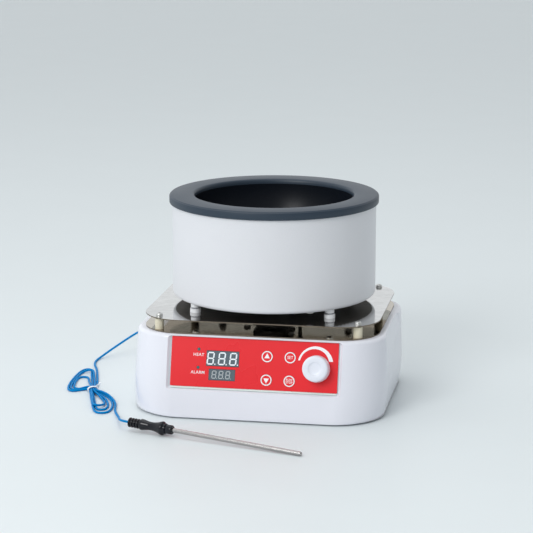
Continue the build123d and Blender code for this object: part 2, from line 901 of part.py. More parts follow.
def centre_sleeves():
    """Spacer tubes on the centre bolts."""
    bore = centre_bolt_radius + running_gap
    return rings(centre_sleeve_radius, bore, upper_plate_top, shell_z, centre_bolt_places)


def outer_shell():
    """Drawn steel pot casing: rounded floor edge, inward lip at the top, grille in the floor."""
    outer = disc(shell_radius, shell_z, shell_top)
    outer = fillet(outer.edges().sort_by(Axis.Z)[0], shell_floor_round)
    inner = disc(shell_radius - shell_wall, shell_z + shell_wall, shell_top - shell_wall)
    inner = fillet(inner.edges().sort_by(Axis.Z)[0], shell_floor_round - shell_wall)
    shell = outer - inner - disc(shell_radius - shell_lip_width, shell_z + shell_wall, shell_top + 1)
    grille = disc(grille_radius, shell_z - 1, shell_z + 2 * shell_wall)
    for x in (-grille_bar_pitch, 0, grille_bar_pitch):
        grille -= block((grille_bar_width, 3 * grille_radius), shell_z - 1, shell_top, (x, 0))
    shell -= grille
    holes = [(stud_radius + running_gap, place) for place in standoff_places]
    holes += [(centre_bolt_radius + running_gap, place) for place in centre_bolt_places]
    holes += [(lead_radius + fit_gap, place) for place in lead_places()]
    holes += [(plug_neck_radius + running_gap, plug_place)]
    for radius, place in holes:
        shell -= disc(radius, shell_z - 1, shell_z + 2 * shell_wall, place)
    return shell


def floor_plug():
    """Push-in plug in a spare hole of the pot's floor."""
    plug = disc(plug_radius, shell_z - plug_height, shell_z, plug_place)
    plug = fillet(plug.edges().sort_by(Axis.Z)[0], plug_height / 2)
    return plug + disc(plug_neck_radius, shell_z, shell_z + shell_wall + 1, plug_place)


def bowl_bottom(radius):
    """Half of a circle's section below the bowl's rim, for a sphere of this radius."""
    return disc(2 * radius, bowl_rim - 2 * radius, bowl_rim) & Pos(0, 0, bowl_rim) * Sphere(radius)


def inner_bowl():
    """Hemispherical cast bowl with a flange that rests on the shell's lip."""
    bowl = bowl_bottom(bowl_radius + bowl_wall)
    bowl += disc(bowl_radius + bowl_wall + bowl_flange_width, shell_top, bowl_rim)
    return bowl - Pos(0, 0, bowl_rim) * Sphere(bowl_radius)


def collar_ring():
    """Moulded collar: rebated underneath over the bowl's flange and the shell's edge."""
    collar = disc(collar_radius, shell_top, collar_top) - disc(bowl_radius, shell_top, collar_top + 1)
    edges = collar.edges().filter_by_position(Axis.Z, collar_top - 0.01, collar_top + 0.01)
    by_size = edges.sort_by(SortBy.LENGTH)
    collar = fillet(by_size[-1], collar_outer_round)
    edges = collar.edges().filter_by_position(Axis.Z, collar_top - 0.01, collar_top + 0.01)
    collar = fillet(edges.sort_by(SortBy.LENGTH)[0], collar_inner_round)
    rebate = bowl_radius + bowl_wall + bowl_flange_width + fit_gap
    return collar - disc(rebate, shell_top - 1, bowl_rim)


def element_height():
    """Height of the element's ring where it lies against the bowl."""
    reach = bowl_radius + bowl_wall + element_tube_radius + running_gap
    return bowl_rim - sqrt(reach**2 - element_ring_radius**2)


def ring_tube(radius, span):
    """Part of a ring of round section round the pot's axis, open at the back."""
    section = Plane.XZ * Pos(element_ring_radius, element_height()) * Circle(radius)
    start = 90 + (360 - span) / 2
    return Rot(0, 0, start) * revolve(section, Axis.Z, span)


def heating_element():
    """Tubular element bent round the bowl, with its two cold ends turned down."""
    ring = ring_tube(element_tube_radius, 360 - 2 * element_gap)
    for place in lead_places():
        ring += disc(element_tube_radius, element_low(), element_height(), place)
        ring += Pos(place[0], place[1], element_height()) * Sphere(element_tube_radius)
    return ring


def element_low():
    """Height of the lower ends of the element."""
    return element_height() - element_end_length


def heater_leads():
    """Sleeved leads from the element's ends straight down to the terminal block."""
    low = housing_height - lead_end_drop
    return group(disc(lead_radius, low, element_low(), place) for place in lead_places())


def terminal_block():
    """Ceramic block under the housing's top that takes the heater's leads."""
    low = housing_inner_top - terminal_height
    y = lead_places()[0][1]
    width = 2 * lead_places()[1][0] + terminal_depth
    body = block((width, terminal_depth), low, housing_inner_top, (0, y))
    for place in lead_places():
        body -= disc(lead_radius + running_gap, housing_height - lead_end_drop, housing_height, place)
    return body


def insulation():
    """Fibre packing between the bowl and the casing, with room for the element and the studs."""
    radius = shell_radius - shell_wall - fit_gap
    low = shell_z + shell_wall + fit_gap
    high = shell_top - shell_wall - fit_gap
    body = disc(radius, low, high)
    body = fillet(body.edges().sort_by(Axis.Z)[0], shell_floor_round - shell_wall)
    body -= Pos(0, 0, bowl_rim) * Sphere(bowl_radius + bowl_wall + fit_gap)
    body -= ring_tube(element_tube_radius + fit_gap, insulation_channel)
    for place in standoff_places:
        body -= disc(stud_head_radius + 1, low - 1, low + stud_head_height + fit_gap, place)
    head_high = low + centre_bolt_head_height + fit_gap
    for place in centre_bolt_places:
        body -= disc(centre_bolt_head_radius + 1, low - 1, head_high, place)
    body -= disc(plug_radius, low - 1, low + 1 + fit_gap, plug_place)
    for place in lead_places():
        body -= disc(element_tube_radius + fit_gap, element_low() - fit_gap, element_height(), place)
        body -= disc(lead_radius + fit_gap, low - 1, element_height(), place)
    return body


# ---------------------------------------------------------------- stirrer

def stirrer_motor():
    """Round gear motor hung under the housing's top."""
    low = housing_inner_top - motor_height
    motor = disc(motor_radius, low, housing_inner_top)
    motor = fillet(motor.edges().sort_by(Axis.Z)[0], motor_round)
    motor -= disc(motor_shaft_radius + running_gap, housing_inner_top - motor_shaft_depth, housing_height)
    for x in (-motor_screw_x, motor_screw_x):
        hole_low = housing_inner_top - motor_screw_bite - 1
        motor -= disc(screw_radius + running_gap, hole_low, housing_height, (x, 0))
    return motor


def motor_screws():
    """Screws from above the lower plate into the motor."""
    length = plate_thickness + housing_wall + motor_screw_bite
    places = (-motor_screw_x, motor_screw_x)
    return group(Pos(x, 0, 0) * pan_screw(lower_plate_top, length) for x in places)


def magnet_bar_low():
    """Height of the magnet bar's underside."""
    return lower_plate_top + magnet_bar_lift


def drive_shaft():
    """Motor's output shaft, up into the magnet bar."""
    low = housing_inner_top - motor_shaft_depth + fit_gap
    return disc(motor_shaft_radius, low, magnet_bar_low() + magnet_bar_height - 1)


def magnet_carrier():
    """Round-ended bar on the shaft, with pockets for the two magnets."""
    low = magnet_bar_low()
    high = low + magnet_bar_height
    outline = Rectangle(magnet_bar_length, magnet_bar_width) & Circle(magnet_bar_length / 2)
    bar = Pos(0, 0, low) * Rot(0, 0, 90) * extrude(outline, magnet_bar_height)
    bar -= disc(motor_shaft_radius + running_gap, low - 1, high - 1 + fit_gap)
    for y in (-magnet_place, magnet_place):
        bar -= disc(magnet_radius + running_gap, high - magnet_height, high + 1, (0, y))
    return bar


def drive_magnets():
    """Disc magnets in the bar's pockets."""
    high = magnet_bar_low() + magnet_bar_height
    places = [(0, y) for y in (-magnet_place, magnet_place)]
    return group(disc(magnet_radius, high - magnet_height, high, place) for place in places)


# ---------------------------------------------------------------- rear fittings

def power_inlet():
    """Mains inlet: flange outside the wall, body through it and a cavity for the plug."""
    body = block(inlet_size, -inlet_depth, 0) + block(inlet_flange, 0, rear_flange)
    outline = RectangleRounded(*inlet_cavity, 2)
    cavity_low = rear_flange - inlet_cavity_depth
    body -= Pos(0, 0, cavity_low) * extrude(outline, inlet_cavity_depth + 1)
    for x, y in pin_places():
        size = [side + 2 * running_gap for side in pin_size]
        body -= block(size, -inlet_depth - 1, cavity_low + 1, (x, y))
    return on_rear(body, inlet_place)


def pin_places():
    """Places of the three pins about the inlet's middle, the earth pin set off."""
    return [(-pin_spread, -pin_drop), (0, pin_rise), (pin_spread, -pin_drop)]


def inlet_pins():
    """Pins through the back of the inlet's cavity."""
    high = rear_flange - pin_sink
    low = -inlet_depth - pin_tail
    return group(on_rear(block(pin_size, low, high, place), inlet_place) for place in pin_places())


def switch_case():
    """Frame of the power switch with a cavity for the rocker and its pin holes."""
    body = block(switch_size, -switch_depth, 0) + block(switch_flange, 0, rear_flange)
    cavity = (rocker_width + 2 * fit_gap, 2 * (rocker_half_height + 2 * fit_gap))
    body -= block(cavity, rocker_pivot() - rocker_half_height * 0.6, rear_flange + 1)
    pins = Cylinder(rocker_pin_radius + running_gap, rocker_width + 2 * rocker_pin_length + 2 * fit_gap)
    body -= Pos(0, 0, rocker_pivot()) * Rot(0, 90, 0) * pins
    return on_rear(body, switch_place)


def rocker_pivot():
    """Depth of the rocker's pivot, measured outwards from the rear wall."""
    return rear_flange - rocker_pivot_sink


def switch_rocker():
    """Rocker with a shallow V face and two pivot pins, shown pressed at its lower end."""
    rise = rocker_half_height * tan(radians(rocker_tilt))
    face = Polygon(
        (-rocker_half_height, -rocker_back),
        (rocker_half_height, -rocker_back),
        (rocker_half_height, rocker_front + rise),
        (0, rocker_front),
        (-rocker_half_height, rocker_front + rise),
        align=None,
    )
    swing = Circle(rocker_half_height + fit_gap)
    paddle = extrude(face & swing, rocker_width / 2, both=True)
    paddle = Plane.YZ * paddle
    pins = Rot(0, 90, 0) * Cylinder(rocker_pin_radius, rocker_width + 2 * rocker_pin_length)
    rocker = Rot(rocker_tilt, 0, 0) * (paddle + pins)
    return on_rear(Pos(0, 0, rocker_pivot()) * rocker, switch_place)


def sensor_socket():
    """Round panel socket: threaded body, flange and a neck that the plug's ring goes over."""
    body = disc(socket_radius, -socket_body, 0)
    body += disc(socket_flange_radius, 0, socket_flange)
    body += disc(socket_radius, socket_flange, socket_flange + socket_neck)
    nut = hexagon(2 * socket_flange_radius, -housing_wall - socket_nut, -housing_wall)
    return on_rear(body + nut, socket_place)


def connector_low():
    """Where the plug begins, measured outwards from the rear wall."""
    return socket_flange + fit_gap


def connector_high():
    """Where the plug's boot ends and the lead leaves it."""
    return connector_low() + connector_ring_length + connector_body_length + connector_boot_length


def sensor_connector():
    """Plug on the lead: knurled ring over the socket's neck, body and tapered boot."""
    low = connector_low()
    ring_high = low + connector_ring_length
    body_high = ring_high + connector_body_length
    plug = disc(connector_ring_radius, low, ring_high)
    plug = chamfer(plug.edges().filter_by(GeomType.CIRCLE), connector_ring_chamfer)
    plug += disc(connector_body_radius, ring_high, body_high)
    plug += Pos(0, 0, body_high) * Cone(
        connector_body_radius * 0.75,
        cord_radius * 1.5,
        connector_boot_length,
        align=(Align.CENTER, Align.CENTER, Align.MIN),
    )
    plug -= disc(socket_radius + running_gap, low - 1, socket_flange + socket_neck + fit_gap)
    return on_rear(plug, socket_place)


# ---------------------------------------------------------------- lead and probe

def corner_radii(points):
    """Arc radius at each inner corner: 0.45 of the shorter run over the tangent of half the turn."""
    vectors = [Vector(*point) for point in points]
    radii = []
    for before, corner, after in zip(vectors, vectors[1:], vectors[2:]):
        turn = radians((corner - before).get_angle(after - corner))
        run = min((corner - before).length, (after - corner).length)
        radii.append(0.45 * run / tan(turn / 2))
    return radii


def cord_tube(name, points):
    """Round tube along straight runs joined by tangent arcs."""
    radii = corner_radii(points)
    path = FilletPolyline(*points, radius=radii)
    start = Plane(origin=path @ 0, z_dir=path % 0)
    tube = sweep(start * Circle(cord_radius), path=path)
    share = tube.volume / (pi * cord_radius**2 * path.length)
    print(name, "length", round(path.length, 1), "volume share", round(share, 4))
    print(name, "radii", [round(radius, 1) for radius in radii])
    return tube


def cord_lead():
    """Lead from the plug's boot down to the bench and into the hank."""
    exit_point = (socket_place[0], rear_reach + connector_high(), socket_place[1])
    return cord_tube("lead", [exit_point] + lead_route)


def cord_tail():
    """Lead from the hank up into the probe's grip."""
    return cord_tube("tail", tail_route + [probe_end])


def loop_slab(loop):
    """Flat outer shape of one loop of the hank."""
    (x, y), (length, width), direction = loop
    outline = Pos(x, y) * Rot(0, 0, direction) * SlotOverall(length, width)
    return Pos(0, 0, hank_floor) * extrude(outline, hank_height)


def waist_frame():
    """Plane across the hank's waist, looking along it, on the floor."""
    start = Vector(*waist_ends[0])
    end = Vector(*waist_ends[1])
    middle = (start + end) * 0.5
    return Plane(origin=(middle.X, middle.Y, 0), x_dir=(0, 0, 1), z_dir=end - start)


def waist_length():
    """Length of the hank's waist between the loops."""
    return (Vector(*waist_ends[1]) - Vector(*waist_ends[0])).length


def waist_bar(grow, length):
    """Bar along the waist, grown all round by a wall."""
    height = hank_height - waist_rise + 2 * grow
    middle = (hank_height + waist_rise) / 2
    return waist_frame() * Pos(middle, 0, 0) * Box(height, waist_width + 2 * grow, length)


def cord_hank():
    """Outer shape of the tied hank: two loops and the waist between them."""
    loops = loop_slab(upper_loop) + loop_slab(lower_loop)
    gap = waist_frame() * Box(4 * hank_height, 4 * waist_width, waist_length() * 0.8)
    return loops - gap + waist_bar(0, waist_length() * 1.6)


def cord_tie():
    """Band round the hank's waist."""
    return waist_bar(tie_wall, tie_length) - waist_bar(running_gap, 2 * tie_length)


def probe_plane():
    """Plane at the grip's end with its Z along the probe."""
    start = Vector(*probe_end)
    return Plane(origin=probe_end, z_dir=Vector(*probe_tip) - start)


def probe_length():
    """Length of the whole probe from the grip's end to the rod's tip."""
    return (Vector(*probe_tip) - Vector(*probe_end)).length


def probe_handle():
    """Moulded grip: ribs at the lead's end, a waist, a flare and a clamping nut."""
    rib_end = handle_rib_count * handle_rib_pitch
    nut_low = handle_length - handle_nut_length
    flare_at = nut_low - handle_flare_setback
    groove = handle_radius - handle_rib_depth
    points = [(0, 0), (handle_radius - handle_end_round, 0), (handle_radius, handle_end_round)]
    for index in range(handle_rib_count):
        rib_high = index * handle_rib_pitch + handle_rib_width
        groove_low = rib_high + handle_groove_side
        points += [(handle_radius, rib_high), (groove, groove_low)]
        points += [(groove, groove_low + handle_groove_width)]
        points += [(handle_radius, (index + 1) * handle_rib_pitch)]
    section = [Vector(radius, 0, height) for radius, height in points]
    ribs = Polyline(*section)
    swell = Spline(
        section[-1],
        Vector(handle_waist_radius, 0, (rib_end + flare_at) / 2),
        Vector(handle_flare_radius, 0, flare_at),
        Vector(handle_nut_radius + handle_nut_step, 0, nut_low),
    )
    nut = Polyline(
        Vector(handle_nut_radius + handle_nut_step, 0, nut_low),
        Vector(handle_nut_radius, 0, nut_low),
        Vector(handle_nut_radius, 0, handle_length - handle_nut_chamfer),
        Vector(handle_nut_radius - handle_nut_chamfer, 0, handle_length),
        Vector(0, 0, handle_length),
        Vector(0, 0, 0),
    )
    return probe_plane() * revolve(make_face([ribs, swell, nut]), Axis.Z)


def probe_rod():
    """Closed steel tube of the sensor, with a rounded tip."""
    rod = disc(rod_radius, handle_length, probe_length())
    return probe_plane() * fillet(rod.edges().sort_by(Axis.Z)[-1], rod_tip_round)


# ---------------------------------------------------------------- assembly

def nodes():
    """Every piece by its name."""
    upper, lower = key_rows
    left, right = key_columns
    return {
        "base_housing": base_housing(),
        "bottom_cover": bottom_cover(),
        "rubber_feet": rubber_feet(),
        "cover_screws": cover_screws(),
        "control_panel": control_panel(),
        "speed_scale": speed_scale(),
        "temperature_display": display_module(display_size, display_place),
        "alarm_display": display_module(alarm_display_size, alarm_display_place),
        "temperature_digits": digit_row(digit_place, digit_pitch, digit_width, digit_height, digit_stroke),
        "alarm_digits": digit_row(
            alarm_digit_place, alarm_digit_pitch, alarm_digit_width, alarm_digit_height, alarm_digit_stroke
        ),
        "heat_lamp": lamp(heat_lamp_place),
        "alarm_lamp": lamp(alarm_lamp_place),
        "up_key": key_cap((left, upper), 1),
        "down_key": key_cap((left, lower), -1),
        "set_key": key_cap((right, upper), 0),
        "run_key": key_cap((right, lower), 0),
        "control_board": control_board(),
        "board_components": board_components(),
        "board_screws": board_screws(),
        "speed_knob": speed_knob(),
        "control_shaft": control_shaft(),
        "speed_control": speed_control(),
        "control_nut": control_nut(),
        "lower_plate": lower_plate(),
        "upper_plate": upper_plate(),
        "plate_spacers": plate_spacers(),
        "spacer_washers": spacer_washers(),
        "spacer_screws": spacer_screws(),
        "standoff_feet": standoff_feet(),
        "standoff_bands": standoff_bands(),
        "standoff_sleeves": standoff_sleeves(),
        "pot_studs": pot_studs(),
        "dome_nuts": dome_nuts(),
        "centre_bolts": centre_bolts(),
        "centre_sleeves": centre_sleeves(),
        "outer_shell": outer_shell(),
        "floor_plug": floor_plug(),
        "inner_bowl": inner_bowl(),
        "collar_ring": collar_ring(),
        "heating_element": heating_element(),
        "heater_leads": heater_leads(),
        "terminal_block": terminal_block(),
        "insulation": insulation(),
        "stirrer_motor": stirrer_motor(),
        "motor_screws": motor_screws(),
        "drive_shaft": drive_shaft(),
        "magnet_carrier": magnet_carrier(),
        "drive_magnets": drive_magnets(),
        "power_inlet": power_inlet(),
        "inlet_pins": inlet_pins(),
        "switch_case": switch_case(),
        "switch_rocker": switch_rocker(),
        "sensor_socket": sensor_socket(),
        "sensor_connector": sensor_connector(),
        "cord_lead": cord_lead(),
        "cord_hank": cord_hank(),
        "cord_tie": cord_tie(),
        "cord_tail": cord_tail(),
        "probe_handle": probe_handle(),
        "probe_rod": probe_rod(),
    }


def place(shape):
    """Move a piece from the pot's axis to the part's own origin."""
    return Pos(0, pot_axis_y, 0) * shape


os.makedirs("parts", exist_ok=True)
for name, shape in nodes().items():
    export_step(place(shape), f"parts/{name}.step")
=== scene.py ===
import math

import bpy
from mathutils import Matrix, Vector


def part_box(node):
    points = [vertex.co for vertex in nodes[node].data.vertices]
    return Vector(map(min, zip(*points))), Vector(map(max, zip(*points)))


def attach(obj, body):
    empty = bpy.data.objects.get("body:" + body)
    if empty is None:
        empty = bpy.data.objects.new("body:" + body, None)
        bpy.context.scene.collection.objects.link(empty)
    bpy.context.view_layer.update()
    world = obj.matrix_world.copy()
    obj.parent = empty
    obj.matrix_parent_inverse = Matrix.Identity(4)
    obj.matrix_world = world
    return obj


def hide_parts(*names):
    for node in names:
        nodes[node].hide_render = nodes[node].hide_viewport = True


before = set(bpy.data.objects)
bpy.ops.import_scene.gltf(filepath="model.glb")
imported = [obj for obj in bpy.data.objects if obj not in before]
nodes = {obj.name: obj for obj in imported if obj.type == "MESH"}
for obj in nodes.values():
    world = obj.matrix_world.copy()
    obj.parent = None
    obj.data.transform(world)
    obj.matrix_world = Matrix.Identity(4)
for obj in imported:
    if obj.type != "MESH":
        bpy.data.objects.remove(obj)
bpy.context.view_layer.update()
bpy.ops.object.select_all(action="DESELECT")


# ---------------------------------------------------------------- base housing
# The real base is one injection-moulded ABS shell, open below, in a cool white with a very
# fine spark-eroded grain. It stands on the bench on its feet and carries everything else.

def mottle_group():
    """Fine variation of a colour, of gloss and of height over a surface."""
    group = bpy.data.node_groups.new("mottle", "ShaderNodeTree")
    face = group.interface
    face.new_socket("Color", in_out="INPUT", socket_type="NodeSocketColor")
    for name in ("Scale", "Cloud", "Shade", "Gloss", "Spread", "Stretch"):
        face.new_socket(name, in_out="INPUT", socket_type="NodeSocketFloat")
    face.new_socket("Color", in_out="OUTPUT", socket_type="NodeSocketColor")
    face.new_socket("Roughness", in_out="OUTPUT", socket_type="NodeSocketFloat")
    face.new_socket("Height", in_out="OUTPUT", socket_type="NodeSocketFloat")
    new, link = group.nodes.new, group.links.new
    given, result = new("NodeGroupInput"), new("NodeGroupOutput")
    place, squeeze = new("ShaderNodeTexCoord"), new("ShaderNodeVectorMath")
    stretch = new("ShaderNodeCombineXYZ")
    squeeze.operation = "MULTIPLY"
    link(place.outputs["Object"], squeeze.inputs[0])
    stretch.inputs["Y"].default_value = 1.0
    stretch.inputs["Z"].default_value = 1.0
    link(given.outputs["Stretch"], stretch.inputs["X"])
    link(stretch.outputs[0], squeeze.inputs[1])
    fine, wide = new("ShaderNodeTexNoise"), new("ShaderNodeTexNoise")
    fine.inputs["Detail"].default_value = 3.0
    wide.inputs["Detail"].default_value = 4.0
    for noise in (fine, wide):
        link(squeeze.outputs[0], noise.inputs["Vector"])
    link(given.outputs["Scale"], fine.inputs["Scale"])
    link(given.outputs["Cloud"], wide.inputs["Scale"])

    def math_node(operation, first, second):
        node = new("ShaderNodeMath")
        node.operation = operation
        for socket, value in zip(node.inputs, (first, second)):
            if isinstance(value, float):
                socket.default_value = value
            else:
                link(value, socket)
        return node.outputs[0]

    both = math_node("ADD", fine.outputs["Fac"], wide.outputs["Fac"])
    centred = math_node("SUBTRACT", both, 1.0)
    shade = math_node("MULTIPLY", centred, given.outputs["Shade"])
    bright = math_node("ADD", shade, 1.0)
    tint = new("ShaderNodeVectorMath")
    tint.operation = "SCALE"
    link(given.outputs["Color"], tint.inputs[0])
    link(bright, tint.inputs["Scale"])
    link(tint.outputs[0], result.inputs["Color"])
    centred_wide = math_node("SUBTRACT", wide.outputs["Fac"], 0.5)
    spread = math_node("MULTIPLY", centred_wide, given.outputs["Spread"])
    link(math_node("ADD", spread, given.outputs["Gloss"]), result.inputs["Roughness"])
    link(fine.outputs["Fac"], result.inputs["Height"])
    return group


mottle = mottle_group()


def finish(name, color, gloss, scale=900.0, cloud=14.0, shade=0.05, spread=0.12, stretch=1.0,
           bump=0.04, metallic=0.0, specular=0.5):
    """Material of one surface: its colour, its roughness and the fine variation of both."""
    material = bpy.data.materials.new(name)
    material.use_nodes = True
    tree = material.node_tree
    shader = tree.nodes["Principled BSDF"]
    shader.inputs["Metallic"].default_value = metallic
    shader.inputs["Specular IOR Level"].default_value = specular
    effect = tree.nodes.new("ShaderNodeGroup")
    effect.name = "surface"
    effect.node_tree = mottle
    effect.inputs["Color"].default_value = (*color, 1.0)
    values = {
        "Scale": scale, "Cloud": cloud, "Shade": shade, "Gloss": gloss, "Spread": spread,
        "Stretch": stretch,
    }
    for socket, value in values.items():
        effect.inputs[socket].default_value = value
    relief = tree.nodes.new("ShaderNodeBump")
    relief.inputs["Strength"].default_value = bump
    relief.inputs["Distance"].default_value = 0.0002
    tree.links.new(effect.outputs["Color"], shader.inputs["Base Color"])
    tree.links.new(effect.outputs["Roughness"], shader.inputs["Roughness"])
    tree.links.new(effect.outputs["Height"], relief.inputs["Height"])
    tree.links.new(relief.outputs["Normal"], shader.inputs["Normal"])
    return material


def dress(material, *names):
    """Give CAD pieces their finish."""
    for name in names:
        mesh = nodes[name].data
        mesh.materials.clear()
        mesh.materials.append(material)


def own_copy(node, name, *materials):
    """Merged copy of a CAD piece's mesh as a new piece."""
    piece = bpy.data.objects.new(name, nodes[node].data.copy())
    bpy.context.scene.collection.objects.link(piece)
    bpy.context.view_layer.objects.active = piece
    piece.select_set(True)
    bpy.ops.object.mode_set(mode="EDIT")
    bpy.ops.mesh.select_all(action="SELECT")
    bpy.ops.mesh.remove_doubles(threshold=0.0000001)
    bpy.ops.object.mode_set(mode="OBJECT")
    piece.data.materials.clear()
    for material in materials:
        piece.data.materials.append(material)
    return piece


def smooth_copy(piece, crisp=0.5):
    """Smooth shading of a merged copy, led by its large faces."""
    bpy.context.view_layer.objects.active = piece
    if piece.data.has_custom_normals:
        bpy.ops.mesh.customdata_custom_splitnormals_clear()
    bpy.ops.object.shade_smooth_by_angle(angle=crisp)
    weighted = piece.modifiers.new("weighted", "WEIGHTED_NORMAL")
    weighted.keep_sharp = True
    bpy.ops.object.modifier_apply(modifier="weighted")
    piece.select_set(False)


housing_white = finish("housing_white", (0.80, 0.81, 0.875), 0.20, scale=1400.0, shade=0.02,
                       spread=0.08, bump=0.02)
housing = own_copy("base_housing", "housing_shell", housing_white)
housing_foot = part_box("base_housing")[0][2]
foot_rings = (0.0004, 0.0009, 0.0016, 0.0025, 0.0035, 0.0080, 0.0135, 0.0190, 0.0245, 0.0300)
waist_height, foot_round = 0.0350, 0.0035
half_width, middle_depth = 0.1450, -0.0100
drawn_in, depth_share = 0.0040, 0.3
bpy.ops.object.mode_set(mode="EDIT")
for rise in foot_rings:
    bpy.ops.mesh.select_all(action="SELECT")
    bpy.ops.mesh.bisect(plane_co=(0.0, 0.0, housing_foot + rise), plane_no=(0.0, 0.0, 1.0))
bpy.ops.object.mode_set(mode="OBJECT")
for vertex in housing.data.vertices:
    rise = vertex.co.z - housing_foot
    if rise < waist_height:
        inset = drawn_in * (1.0 - rise / waist_height) ** 2
        if rise < foot_round:
            inset += foot_round - math.sqrt(max(0.0, foot_round**2 - (foot_round - rise) ** 2))
        vertex.co.x *= 1.0 - inset / half_width
        nearer = 1.0 - depth_share * inset / half_width
        vertex.co.y = middle_depth + (vertex.co.y - middle_depth) * nearer
smooth_copy(housing)
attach(housing, "base_unit")
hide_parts("base_housing")

# The underside is a thin moulded cover with four push-in rubber feet, held by four
# screws that run up into the housing's posts.

dress(finish("cover_grey", (0.55, 0.55, 0.58), 0.5), "bottom_cover")
foot_rubber = finish("foot_rubber", (0.03, 0.03, 0.03), 0.75, scale=500.0, bump=0.15)
dress(foot_rubber, "rubber_feet")
screw_zinc = finish("screw_zinc", (0.62, 0.62, 0.60), 0.32, scale=700.0, metallic=1.0, stretch=6.0)
dress(screw_zinc, "cover_screws", "spacer_screws", "board_screws", "motor_screws")


# ---------------------------------------------------------------- control panel
# The real panel is a clear plate printed red from behind, so its cut edges stay pale
# green-white. It drops into the housing's bevelled tray and is bonded there.

panel_lean = math.radians(15.5)
panel_foot = Vector((0.0, -0.133, 0.0))
panel_up = Vector((0.0, math.sin(panel_lean), math.cos(panel_lean)))
panel_out = Vector((0.0, -math.cos(panel_lean), math.sin(panel_lean)))
panel_face = -0.00275
panel_across = Vector((1.0, 0.0, 0.0))
panel_turn = Matrix((panel_across, panel_up, panel_out)).transposed().to_4x4()


def on_panel(x, up, out=panel_face):
    """Matrix that takes a piece drawn flat to a place on the leaning panel."""
    spot = panel_foot + panel_across * x + panel_up * up + panel_out * out
    return Matrix.Translation(spot) @ panel_turn


panel_red = finish("panel_red", (0.82, 0.012, 0.020), 0.28, scale=1200.0, shade=0.05,
                   bump=0.01, specular=0.4)
panel_edge = finish("panel_edge", (0.70, 0.80, 0.76), 0.3)
panel = own_copy("control_panel", "panel_plate", panel_red, panel_edge)
smooth_copy(panel)
facing = 0.9
for face in panel.data.polygons:
    face.material_index = 0 if face.normal.dot(panel_out) > facing else 1
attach(panel, "base_unit")
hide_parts("control_panel")

# A clear lip of the same sheet lies on the tray's lower bevel.
lip_size, lip_round = (0.1862, 0.0022, 0.0006), 0.00025
lip_up, lip_out, lip_tilt = 0.0357, -0.0020, math.radians(34.5)
bpy.ops.mesh.primitive_cube_add(size=1.0)
lip = bpy.context.object
lip.name = "panel_lip"
lip.data.transform(Matrix.Diagonal((*lip_size, 1.0)))
rounding = lip.modifiers.new("rounding", "BEVEL")
rounding.width, rounding.segments = lip_round, 3
bpy.ops.object.modifier_apply(modifier="rounding")
lip.data.transform(on_panel(0.0, lip_up, lip_out) @ Matrix.Rotation(-lip_tilt, 4, "X"))
lip.data.materials.append(panel_edge)
lip.select_set(False)
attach(lip, "base_unit")

# The words and the rings are screen-printed in white on the red. The maker's place above
# the displays is left bare.

print_white = finish("print_white", (0.95, 0.95, 0.96), 0.45, scale=2500.0, shade=0.08, bump=0.02)
print_height, print_spread = 0.00008, 0.00003
capital_share = 0.70


def printed_word(name, words, x, up, capital, out=panel_face, body="base_unit", narrow=1.0):
    """Word printed on the panel, centred on its place, with capitals of the height given."""
    bpy.ops.object.text_add()
    word = bpy.context.object
    word.name = name
    word.data.body = words
    word.data.align_x = "CENTER"
    word.data.align_y = "CENTER"
    word.data.space_line = 0.82
    word.data.space_character = 1.08
    word.data.offset = print_spread
    word.data.size = capital / capital_share
    word.data.extrude = print_height / 2
    bpy.ops.object.convert(target="MESH")
    word.data.transform(Matrix.Diagonal((narrow, 1.0, 1.0, 1.0)))
    word.data.transform(on_panel(x, up, out + print_height / 2))
    word.data.materials.append(print_white)
    word.select_set(False)
    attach(word, body)


label_capital = 0.0033
printed_word("word_heat", "HEAT", -0.0626, 0.0724, label_capital)
printed_word("word_alarm", "ALARM", -0.0629, 0.0528, label_capital)
dress(print_white, "speed_scale")


# ---------------------------------------------------------------- displays and lamps
# Two seven-segment modules stand behind the panel with their smoked faces in its windows.
# The upper figures are lit bright white, the lower ones dimmer. Two teal lamps sit beside them.

smoked = finish("display_smoked", (0.10, 0.135, 0.160), 0.20, scale=400.0, shade=0.04,
                spread=0.05, bump=0.0)
dress(smoked, "temperature_display", "alarm_display")


def lit(name, color, strength):
    """Moulded segment that glows evenly."""
    material = finish(name, color, 0.35, scale=2000.0, shade=0.04, bump=0.0)
    shader = material.node_tree.nodes["Principled BSDF"]
    effect = material.node_tree.nodes["surface"]
    shader.inputs["Emission Strength"].default_value = strength
    material.node_tree.links.new(effect.outputs["Color"], shader.inputs["Emission Color"])
    return material


dress(lit("digit_bright", (0.80, 0.86, 0.90), 0.10), "temperature_digits")
dress(lit("digit_dim", (0.42, 0.46, 0.48), 0.05), "alarm_digits")
dress(lit("lamp_teal", (0.03, 0.17, 0.18), 0.05), "heat_lamp", "alarm_lamp")


# ---------------------------------------------------------------- keys
# Four round membrane keys lie in the panel, each the panel's red with a printed white ring.
# Two carry arrows, one SET and one RUN/STOP, and each moves half a millimetre.

